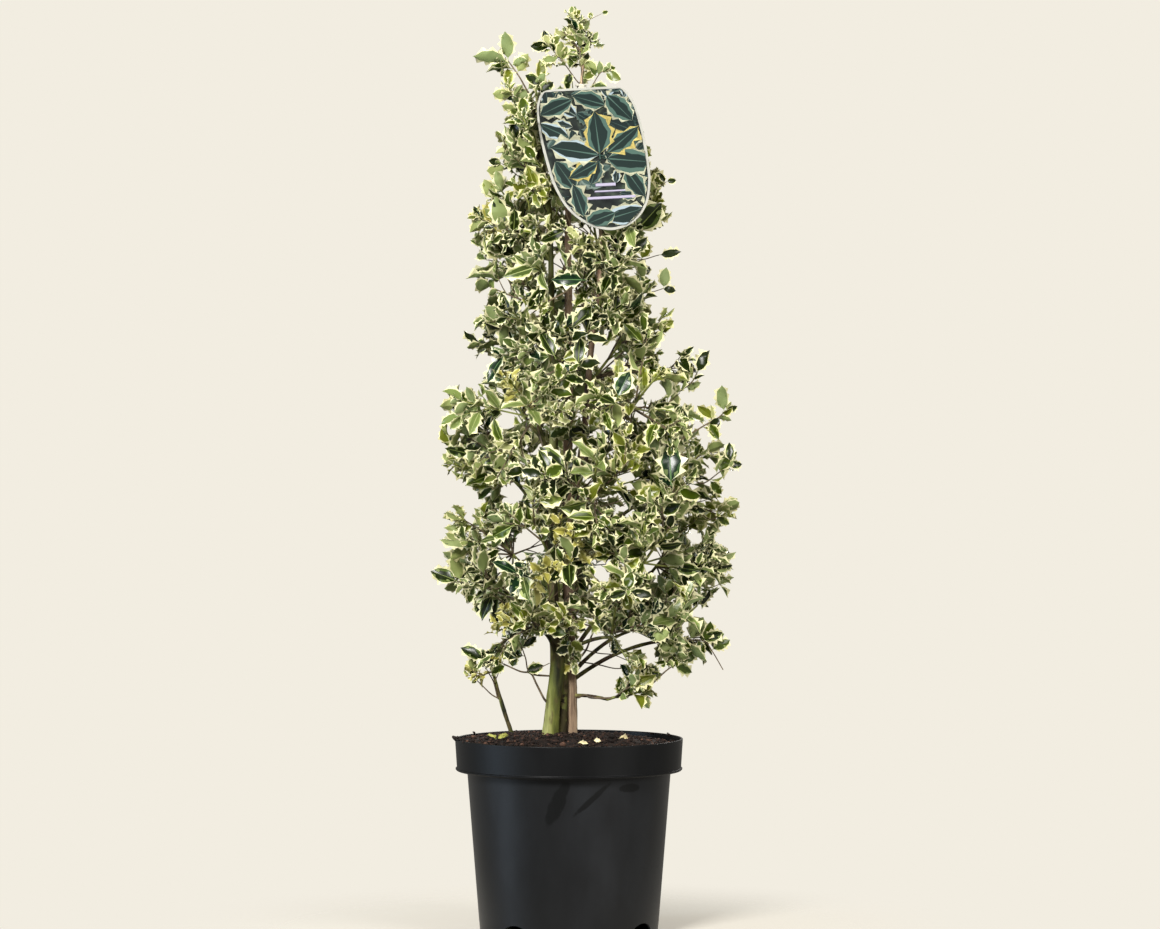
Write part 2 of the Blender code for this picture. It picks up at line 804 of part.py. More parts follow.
def grow_twigs(mass, index, centres, guards):
    """Paths of the mass's twigs, each to a seeded point of its own cell that is still free."""
    stem, rng, lone = mass["stem"], mass["rng"], mass["radius"] is not None
    spread = mass["reach"] if lone else CELL_SPREAD
    inset = (LONE_INSET_SHARE if lone else TWIG_INSET_SHARE) * mass["reach"]
    spacing = LONE_SPACING if lone else TWIG_SPACING
    ends, twigs = [stem[-1]], []
    for _ in range(TWIG_TRIES):
        end = mass["centre"] + Vector([rng.uniform(-1, 1) for _ in range(3)]) * spread
        if len(twigs) == (LONE_TWIGS if lone else TWIGS_PER_MASS):
            break
        inner = 0.0 if lone else INNER_SHARE * crown_reach(end.z)
        if (end - crown_axis(end.z)).xy.length < inner:
            continue
        if min((end - other).length for other in ends) < spacing:
            continue
        if not in_crown(end, mass, -inset) or not in_cell(end, index, centres, TWIG_ROOM):
            continue
        start = branch_point(stem, end)
        bend = start.lerp(end, 0.5) + (end - stem[0]).normalized() * 0.10 * (end - start).length
        path = bezier(start, bend, end, TWIG_POINTS)
        if not all(in_cell(p, index, centres, TWIG_ROOM) for p in path[1:]):
            continue
        if not crosses(*tube(path, TWIG_RADIUS), guards):
            ends.append(end)
            twigs.append(path)
    return twigs


def grow_leaves(mass, inside, path, count, guards, placed, rng, template):
    """Matrices of up to count leaves along one twig. A leaf that finds no free place is skipped."""
    faces = [tuple(face.vertices) for face in template.polygons]
    corners = [vertex.co for vertex in template.vertices]
    blade = [Vector((max(c.x, BLADE_START), c.y, c.z)) for c in corners]
    along = (path[-1] - path[0]).normalized()
    across = along.orthogonal().normalized()
    turn = rng.uniform(0, 2 * math.pi)
    leaves = []
    for i in range(count):
        spot = spot_on(path, 1.0 - LEAF_SPREAD * i / (LEAVES_PER_TWIG - 1))
        lean = TIP_LEAN if i == 0 else SIDE_LEAN
        for attempt in range(LEAF_TRIES):
            side = Matrix.Rotation(turn + GOLDEN_ANGLE * (i + 0.37 * attempt), 3, along) @ across
            direction = along + side * (lean + 0.06 * attempt) + UP * rng.uniform(-0.25, 0.35)
            face = FACE_UP * UP + FACE_OUT * (spot - crown_axis(spot.z)).normalized()
            face += Vector([rng.uniform(-FACE_SPREAD, FACE_SPREAD) for _ in range(3)])
            size = LEAF_LENGTH * mass["size"] * (1 + rng.uniform(-LEAF_SIZE_SPREAD, LEAF_SIZE_SPREAD))
            if direction.normalized().cross(face.normalized()).length < LEAST_TURN:
                continue
            frame = leaf_frame(spot, direction, face, size)
            points = [frame @ corner for corner in corners]
            if not all(inside(p) and in_crown(p, mass, LEAF_OVERREACH) for p in points):
                continue
            if crosses(points, faces, guards):
                continue
            if crosses([frame @ corner for corner in blade], faces, placed):
                continue
            placed.append(BVHTree.FromPolygons(points, faces))
            leaves.append(frame)
            break
    return leaves


def joined(stem, parts, name, collection, material):
    """One solid of a mass's stem, twigs and leaves. The parts are removed."""
    union = stem.modifiers.new("fuse", "BOOLEAN")
    union.operation = "UNION"
    union.operand_type = "COLLECTION"
    union.collection = parts
    union.solver = "MANIFOLD"
    made = baked(stem, name, collection, material)
    for part in list(parts.objects):
        bpy.data.objects.remove(part)
    bpy.data.collections.remove(parts)
    keep_largest_body(made.data)
    return made


def make_mass(mass, index, centres, guards, cutters, profile, template, collection, material):
    """One mass of foliage: a stem, its twigs and their leaves, fused."""
    parts = bpy.data.collections.new(mass["name"] + "_parts")
    bpy.context.scene.collection.children.link(parts)
    stem, rng = mass["stem"], mass["rng"]
    twigs = grow_twigs(mass, index, centres, guards)
    placed = [BVHTree.FromPolygons(*tube(path, TWIG_RADIUS)) for path in [stem, *twigs]]
    radii = tapered(STEM_RADIUS, STEM_RADIUS * TIP_RADIUS_SHARE, len(stem))
    main_stem = sweep(mass["name"] + "_stem", stem, radii, collection, profile=profile)
    main_stem = baked(main_stem, mass["name"] + "_stem", collection, None)
    radii = tapered(TWIG_RADIUS, TWIG_RADIUS * TIP_RADIUS_SHARE, TWIG_POINTS)
    for path in twigs:
        baked(sweep("twig", path, radii, parts, profile=profile), "twig", parts, None)
    inside = partial(in_cell, index=index, centres=centres, guard=CELL_GUARD)
    runs = [(stem[1:], LEAVES_PER_STEM)] + [(path, LEAVES_PER_TWIG) for path in twigs]
    for path, count in runs:
        for frame in grow_leaves(mass, inside, path, count, guards, placed, rng, template):
            link("leaf", template, parts).matrix_world = frame
    made = joined(main_stem, parts, mass["name"], collection, material)
    if mass["limb"] in cutters:
        cut(made, [cutters[mass["limb"]]])
        made = baked(made, mass["name"], collection, material)
        keep_largest_body(made.data)


def main():
    for old in list(bpy.data.objects):
        bpy.data.objects.remove(old)
    tree = bpy.data.collections.new("holly_tree")
    cutters = bpy.data.collections.new("cutters")
    bpy.context.scene.collection.children.link(tree)
    bpy.context.scene.collection.children.link(cutters)
    black_plastic = make_material("black_plastic", (0.018, 0.020, 0.022), 0.45)
    compost_brown = make_material("compost_brown", (0.030, 0.019, 0.013), 0.95)
    brown_bark = make_material("brown_bark", (0.150, 0.100, 0.065), 0.85)
    green_bark = make_material("green_bark", (0.150, 0.170, 0.055), 0.80)
    greens = [
        make_material("holly_green", (0.090, 0.150, 0.050), 0.45),
        make_material("holly_cream_green", (0.330, 0.370, 0.150), 0.50),
    ]
    label_card = make_material("label_card", (0.100, 0.160, 0.120), 0.35)

    make_pot(tree, cutters, black_plastic)
    make_compost(tree, compost_brown)
    paths, widened = make_limbs(tree, cutters, brown_bark, green_bark)
    guards = {name: grown_tree(bpy.data.objects[name]) for name in paths}
    guards["label"] = grown_tree(make_label(paths, tree, cutters, label_card))

    masses = plan_tiers(paths) + plan_lone_masses(paths)
    centres = [mass["centre"] for mass in masses]
    boughs = {}
    for mass in masses:
        name = mass["limb"]
        if name in paths:
            continue
        boughs[name] = bough_path(mass, paths)
        radii = tapered(BOUGH_RADIUS * (0.7 + 1.4 * mass["reach"]), STEM_RADIUS, BOUGH_POINTS)
        bough = baked(sweep(name, boughs[name], radii, tree), name, tree, green_bark)
        cut(bough, list(widened.values()))
        bough = baked(bough, name, tree, green_bark)
        keep_largest_body(bough.data)
        guards[name] = grown_tree(bough)

    for mass in masses:
        grow_stem(mass, paths, boughs)
    stems = [
        BVHTree.FromPolygons(*tube(mass["stem"], STEM_RADIUS + LIMB_GUARD)) for mass in masses
    ]
    profile = triangle_profile(cutters)
    template = leaf_mesh()
    for index, mass in enumerate(masses):
        others = [*guards.values(), *stems[:index], *stems[index + 1:]]
        material = greens[index % len(greens)]
        make_mass(mass, index, centres, others, widened, profile, template, tree, material)


main()
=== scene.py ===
"""The looks of a variegated holly tree in a nursery pot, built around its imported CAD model.

The limbs and the foliage grow by the rule of the CAD model's source, here carried on to finer
twigs and leaves of true size. Sizes are in metres, +Z is up and the tree's front faces -Y.
Azimuths are in degrees about +Z from +X, which is the tree's right seen from its front.
"""

import json
import math
import random

import bpy
import numpy as np
from mathutils import Matrix, Vector, noise
from mathutils.bvhtree import BVHTree

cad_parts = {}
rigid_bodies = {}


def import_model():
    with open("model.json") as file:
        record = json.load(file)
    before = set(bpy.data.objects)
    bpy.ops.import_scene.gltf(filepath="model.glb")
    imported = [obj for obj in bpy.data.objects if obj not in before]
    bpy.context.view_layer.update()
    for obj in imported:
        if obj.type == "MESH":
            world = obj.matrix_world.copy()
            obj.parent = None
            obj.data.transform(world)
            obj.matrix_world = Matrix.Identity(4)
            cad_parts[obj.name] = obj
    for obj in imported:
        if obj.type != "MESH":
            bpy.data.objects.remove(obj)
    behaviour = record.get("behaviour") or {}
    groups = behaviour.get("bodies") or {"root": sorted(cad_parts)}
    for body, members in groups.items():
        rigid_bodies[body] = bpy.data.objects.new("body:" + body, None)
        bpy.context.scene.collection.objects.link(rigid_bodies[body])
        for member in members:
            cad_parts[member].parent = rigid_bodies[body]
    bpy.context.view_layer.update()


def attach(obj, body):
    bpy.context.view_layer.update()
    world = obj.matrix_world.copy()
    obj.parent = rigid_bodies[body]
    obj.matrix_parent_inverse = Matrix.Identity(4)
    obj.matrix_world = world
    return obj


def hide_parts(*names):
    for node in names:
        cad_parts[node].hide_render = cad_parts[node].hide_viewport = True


SEED = "holly"

# Camera: the photograph's frame, seen level from straight in front
CAMERA_PLACE = (0.0145, -4.6, 0.615)
VIEW_WIDTH = 1.527
SENSOR_WIDTH = 36.0

# Stage: colours as they are seen, and lights as name, place, target, size, power and colour
BACKDROP = (242, 237, 225)
FLOOR = (178, 174, 165)
GLOW = 0.46
# The floor fades out from its middle: its size, its height, and how and where it fades
FLOOR_RADIUS = 1.9
FLOOR_SIDES = 96
FLOOR_HEIGHT = -0.0005
FLOOR_ROUGHNESS = 0.9
FLOOR_FALL = 1.7
FLOOR_WHOLE = 0.75
LIGHTS = (
    ("key", (-1.5, -3.3, 2.3), (0.0, 0.0, 0.6), 1.1, 285.0, (1.0, 0.98, 0.95)),
    ("fill", (2.5, -2.4, 1.5), (0.0, 0.0, 0.6), 1.6, 105.0, (1.0, 0.98, 0.95)),
    ("window", (-3.0, -0.8, 0.5), (0.0, 0.0, 0.10), 0.9, 54.0, (0.62, 0.80, 1.0)),
    ("back", (0.8, 2.6, 2.8), (0.0, 0.0, 0.8), 1.4, 110.0, (1.0, 0.98, 0.95)),
)

# Pot and compost
POT_HEIGHT = 0.255
POT_RIM_RADIUS = 0.150
POT_BAND_FOOT_RADIUS = 0.1475
POT_BAND_HEIGHT = 0.042
POT_BODY_TOP_RADIUS = 0.134
POT_BASE_RADIUS = 0.117
POT_WALL = 0.003
POT_FLOOR = 0.004
POT_FOOT_CHAMFER = 0.003
POT_BEAD = 0.0018
POT_STEPS = 144
POT_CREASE = 32.0
BODY_RINGS = (0.200, 0.160, 0.110, 0.060, 0.030, 0.016)
NOTCH_COUNT = 4
NOTCH_FIRST_AZIMUTH = -36.0
NOTCH_WIDTH = 0.050
NOTCH_HEIGHT = 0.020
NOTCH_DEPTH = 0.012
NOTCH_SIDES = 40
# Damp smears on the pot's side: centre, lean in degrees, reach across, in and up
SMEARS = (
    ((-0.015, -0.129, 0.180), 24.0, (0.0130, 0.030, 0.044)),
    ((0.030, -0.127, 0.186), 49.0, (0.0052, 0.030, 0.046)),
    ((0.078, -0.106, 0.199), 88.0, (0.0080, 0.030, 0.020)),
)
SMEAR_COLOUR = (2, 3, 4)
# The scale, detail and stretch of the noise that warps a smear, and the values where its edge is
SMEAR_NOISE = (95.0, 4.0, (1, 1, 0.7))
SMEAR_EDGE = (0.12, 0.19)
COMPOST_CROWN = 0.2605
COMPOST_EDGE = 0.2475
COMPOST_TILT = 0.0038
COMPOST_HIGH_SIDE = 215.0
COMPOST_RINGS = 62
COMPOST_SECTORS = 190
COMPOST_PLAY = 0.0006
COMPOST_SINK = 0.0008
COMPOST_SKIRT = 0.030
COMPOST_CREASE = 70.0
CRUMB_COUNT = 1500
CRUMB_SIZES = (0.0007, 0.0027)
CRUMB_LIFT = 0.0010
BIG_CRUMB = 1.8
BIG_CRUMB_SHARE = 0.08
# The numbers of the crumbs' materials, the commoner the more often
CRUMB_SLOTS = (0, 0, 0, 0, 1, 1, 1, 2)
# Clods on the pot's rim: azimuth and radius
CLODS = ((176, 0.1455), (181, 0.1500), (186, 0.1470), (190, 0.1505), (196, 0.1480), (203, 0.1490),
         (211, 0.1455), (24, 0.1460), (40, 0.1440), (150, 0.1450))
CLOD_SIZES = (0.0030, 0.0048)
CLOD_LUMPS = 4
# Pale scraps and the sprig that lie on the compost: x, y, turn in degrees, length, breadth
SCRAPS = (
    (0.032, -0.094, 325, 0.010, 1.0),
    (0.064, -0.064, 42, 0.017, 0.45),
    (0.011, -0.118, 350, 0.013, 0.5),
)
SPRIG = (
    (-0.092, -0.072, 12, 0.014, 0.5),
    (-0.091, -0.074, 64, 0.011, 0.7),
    (-0.094, -0.073, 168, 0.013, 0.5),
    (-0.092, -0.078, 330, 0.010, 0.6),
    (-0.094, -0.071, 116, 0.010, 0.6),
    (-0.086, -0.074, 40, 0.010, 0.5),
)
SCRAP_LIFT = 0.0038
SCRAP_KINDS = (40, 41)

# Crown: height, reach to the left, reach to the right
CROWN = (
    (0.330, 0.120, 0.172),
    (0.380, 0.138, 0.210),
    (0.430, 0.138, 0.224),
    (0.480, 0.188, 0.224),
    (0.540, 0.160, 0.222),
    (0.620, 0.174, 0.222),
    (0.680, 0.184, 0.214),
    (0.745, 0.162, 0.176),
    (0.800, 0.134, 0.136),
    (0.870, 0.130, 0.140),
    (0.940, 0.128, 0.132),
    (1.010, 0.110, 0.124),
    (1.070, 0.090, 0.092),
    (1.110, 0.066, 0.050),
    (1.150, 0.034, 0.034),
    (1.190, 0.020, 0.026),
    (1.214, 0.002, 0.026),
)
# The underside of the crown: distance to the right of the pot's axis, height
UNDERSIDE = (
    (-0.120, 0.346),
    (-0.050, 0.362),
    (-0.025, 0.396),
    (0.035, 0.396),
    (0.060, 0.358),
    (0.200, 0.342),
)
LOWEST_LEAF = 0.285
# Openings where sky shows through the crown from the front: distance to the right of the pot's
# axis, height and radius
GAPS = (
    (0.175, 0.721, 0.014), (0.137, 0.774, 0.014), (0.159, 0.705, 0.012), (0.093, 0.378, 0.013),
    (0.109, 0.371, 0.012), (-0.121, 0.403, 0.012), (0.116, 0.825, 0.011), (0.203, 0.519, 0.010),
    (0.170, 0.422, 0.011), (0.195, 0.426, 0.012), (-0.132, 0.575, 0.010), (0.167, 0.350, 0.012),
    (0.166, 0.521, 0.010), (0.158, 0.397, 0.010), (-0.040, 0.379, 0.010),
    (0.024, 0.663, 0.012), (0.129, 0.753, 0.010), (-0.101, 0.829, 0.007), (0.043, 0.757, 0.014),
    (0.187, 0.654, 0.010), (0.113, 0.867, 0.008), (-0.132, 0.548, 0.007),
    (0.076, 0.382, 0.010), (0.036, 0.922, 0.008), (0.112, 0.713, 0.011), (0.107, 0.480, 0.010),
    (-0.046, 0.819, 0.009), (-0.078, 0.680, 0.008), (-0.086, 0.664, 0.007), (-0.107, 0.383, 0.010),
    (0.113, 0.500, 0.010), (-0.056, 0.517, 0.012), (-0.077, 0.496, 0.010), (-0.074, 0.576, 0.013),
    (-0.022, 0.880, 0.011), (0.080, 0.596, 0.009), (0.044, 0.478, 0.009), (-0.086, 0.850, 0.009),
)

# Limbs: x, y, z and radius of each station
LIMBS = {
    "trunk": (
        (-0.0250, -0.010, 0.2560, 0.0104),
        (-0.0205, -0.011, 0.3050, 0.0094),
        (-0.0150, -0.013, 0.3600, 0.0096),
        (-0.0190, -0.012, 0.4250, 0.0092),
        (-0.0215, -0.008, 0.5200, 0.0068),
        (-0.0200, -0.006, 0.6800, 0.0052),
        (-0.0230, -0.010, 0.8200, 0.0040),
        (-0.0270, -0.004, 0.9600, 0.0032),
        (-0.0480, 0.002, 1.0500, 0.0028),
        (-0.0800, -0.004, 1.1060, 0.0024),
    ),
    "second_stem": (
        (0.0030, 0.012, 0.2560, 0.0086),
        (0.0020, 0.012, 0.3400, 0.0082),
        (-0.0005, 0.012, 0.4300, 0.0076),
        (-0.0015, 0.010, 0.6000, 0.0066),
        (-0.0005, 0.006, 0.8000, 0.0056),
        (-0.0010, 0.002, 0.9450, 0.0040),
        (0.0100, 0.000, 1.0600, 0.0026),
        (0.0190, 0.000, 1.1450, 0.0018),
    ),
    "right_leader": (
        (-0.0190, -0.011, 0.4200, 0.0060),
        (-0.0170, 0.033, 0.5000, 0.0054),
        (0.0150, 0.032, 0.6200, 0.0048),
        (0.0290, 0.022, 0.7650, 0.0042),
        (0.0400, 0.016, 0.8500, 0.0035),
        (0.0420, 0.010, 0.9500, 0.0024),
    ),
    "basal_shoot": (
        (-0.0740, 0.034, 0.2520, 0.0030),
        (-0.0850, 0.030, 0.2850, 0.0027),
        (-0.0930, 0.027, 0.3120, 0.0023),
        (-0.1000, 0.023, 0.3380, 0.0020),
    ),
    # The flank that joins the trunk to the second stem low down, dark below with painted shade
    "flank": (
        (-0.0100, 0.0020, 0.2560, 0.0074),
        (-0.0086, 0.0010, 0.3000, 0.0066),
        (-0.0070, 0.0000, 0.3600, 0.0062),
        (-0.0090, -0.0020, 0.4300, 0.0050),
    ),
}
# The flank's bark is painted shade below this height, with an edge that swings by noise
SHADED_HEIGHT = 0.300
SHADE_SWING = 0.060
SHADE_NOISE = 150.0
ROOT_FLARE = 0.0005
FLARE_FOOT = 0.006
FLARE_HEIGHT = 0.018
ROOT_RIDGES = 3
ROOT_TURN = 0.8
ROOT_RIDGE = 0.0009
ROOT_HEIGHT = 0.014
LIMB_SAMPLES = 40
WOOD_CREASE = 60.0
LIMB_SIDES = {"trunk": 44, "second_stem": 36, "right_leader": 24, "basal_shoot": 16, "flank": 16}

# Tiers of boughs: height of the foliage's centre, number round the stem, azimuth of the first,
# and the share of the reach where a bough gives way to its foliage. No share means that the
# foliage leaves the stem itself.
TIERS = (
    (0.412, 5, 352.0, 0.50),
    (0.500, 5, 28.0, 0.48),
    (0.596, 4, 5.0, 0.46),
    (0.692, 4, 48.0, 0.46),
    (0.784, 3, 10.0, None),
    (0.868, 3, 70.0, None),
    (0.950, 3, 190.0, None),
    (1.034, 2, 18.0, None),
    (1.094, 1, 110.0, None),
)
AZIMUTH_SPREAD = 7.0
HEIGHT_SPREAD = 0.014
CENTRE_SHARE = 0.60
TIP_SHARE = 0.74
TIP_RISE = 0.16
BOUGH_RISE = 0.55
LOWEST_BOUGH = 0.328
BOUGH_STEP = 0.008
BOUGH_RADIUS = 0.0031
BOUGH_SAG = 0.10
BOUGH_POINTS = 22
BOUGH_SIDES = 12
DIRECT_RISE = 0.075
LOW_RIGHT_ROOT = (0.050, -0.018, 0.307)

# Twigs
STEM_RADIUS = 0.0022
TWIG_RADIUS = 0.0014
TWIGLET_RADIUS = 0.0009
TIP_RADIUS_SHARE = 0.55
TWIG_SIDES = 5
STEM_POINTS = 10
TWIG_POINTS = 6
TWIGLET_POINTS = 4
TWIGS_PER_MASS = 11
TWIG_SPACING = 0.030
TWIG_TRIES = 900
TWIG_INSET_SHARE = 0.10
TWIG_BEND = 0.10
TWIG_WANDER = 0.06
TWIG_SLOTS = (0, 1, 1)
CELL_SPREAD = 0.115
INNER_SHARE = 0.30
BRANCH_ANGLE = 38.0
TWIGLETS_PER_TWIG = 2
TWIGLET_LENGTHS = (0.022, 0.044)
TWIGLET_SHARES = (0.35, 0.80)
TWIGLET_LEAN = 0.85
TWIGLET_LIFT = 0.25
TWIGLET_BEND = 0.003
TWIGLET_INSET = 0.006
TWIGLET_TRIES = 4

# Leaves
LEAF_LENGTHS = (0.0155, 0.0430)
# The greater this power, the more leaves are small
SMALL_LEAVES = 1.6
LEAF_SPACING = 0.0070
LEAF_OVERREACH = 0.008
LEAF_TRIES = 6
LEAF_LIFTS = (-0.25, 0.35)
NEAR_LEAF = 0.040
STEM_FIRST_LEAF = 0.35
TWIG_FIRST_LEAF = 0.18
LEAF_CREASE = 55.0
INNER_LEAVES = 0.46
BARE_SHARE = 0.14
TIP_LEAVES = 3
TIP_LEAF_SHARE = 0.66
TIP_LEAN = 0.45
SIDE_LEAN = 1.25
FACE_UP = 0.50
FACE_OUT = 0.60
FACE_SPREAD = 1.25
LEAST_TURN = 0.35
GOLDEN_ANGLE = math.radians(137.508)
LEAF_KINDS = 14
FINE_KINDS = 8
FINE_LENGTH = 0.031
# The zones of a blade from its edge to its middle: two for small leaves, and one with a midrib
LEAF_STYLES = (("edge", "centre"), ("edge", "flank", "centre"), ("edge", "flank", "centre", "midrib"))
# How far leaves vary: width, spines, fold in degrees, bend, waves, twist, and the middle's share
LEAF_WIDTHS = (0.48, 0.68)
LEAF_SPINES = (0.042, 0.096)
LEAF_FOLDS = (8, 42)
LEAF_BENDS = (-0.05, 0.42)
LEAF_WAVES = (0.045, 0.125)
LEAF_TWISTS = (-0.75, 0.75)
LEAF_MIDDLES = (0.54, 0.72)
# Thicknesses of the blade at its edge and its middle, and of the midrib
BLADE_EDGE = 0.012
BLADE_MIDDLE = 0.014
MIDRIB = 0.016
LEAF_BREADTHS = (0.85, 1.12)
SPRAY_BREADTHS = (1.05, 1.30)
# The blade's green part as a share of its half width: leaves of the tree, and on the label
LEAF_MARGINS = (0.74, 0.87)
LABEL_MARGINS = (0.87, 0.94)
PETIOLE = 0.10

# Masses that stand apart: name, limb that holds it, centre, stem's tip, radius, leaf size share
LONE_MASSES = (
    ("foliage_top", "second_stem", (0.012, 0.000, 1.174), (0.014, -0.002, 1.196), 0.038, 0.62),
    ("foliage_left_spire", "trunk", (-0.086, -0.010, 1.138), (-0.090, -0.012, 1.148), 0.026, 0.62),
    ("foliage_basal", "basal_shoot", (-0.110, 0.018, 0.352), (-0.112, 0.018, 0.362), 0.034, 0.72),
    ("foliage_low_right", "bough_low_right", (0.088, -0.030, 0.318), (0.098, -0.034, 0.318), 0.046, 0.85),
)
LONE_INSET_SHARE = 0.40
LONE_TWIGS = {"foliage_top": 2, "foliage_left_spire": 0, "foliage_basal": 1, "foliage_low_right": 1}
LONE_SPACING = 0.022

# Sprays: a root further from the nearest wood than this is joined to it
ROOT_GAP = 0.002
SPRAY_SAMPLES = 5
EDGE_LIFT = 1.3
TUFT_SPAN = 0.62
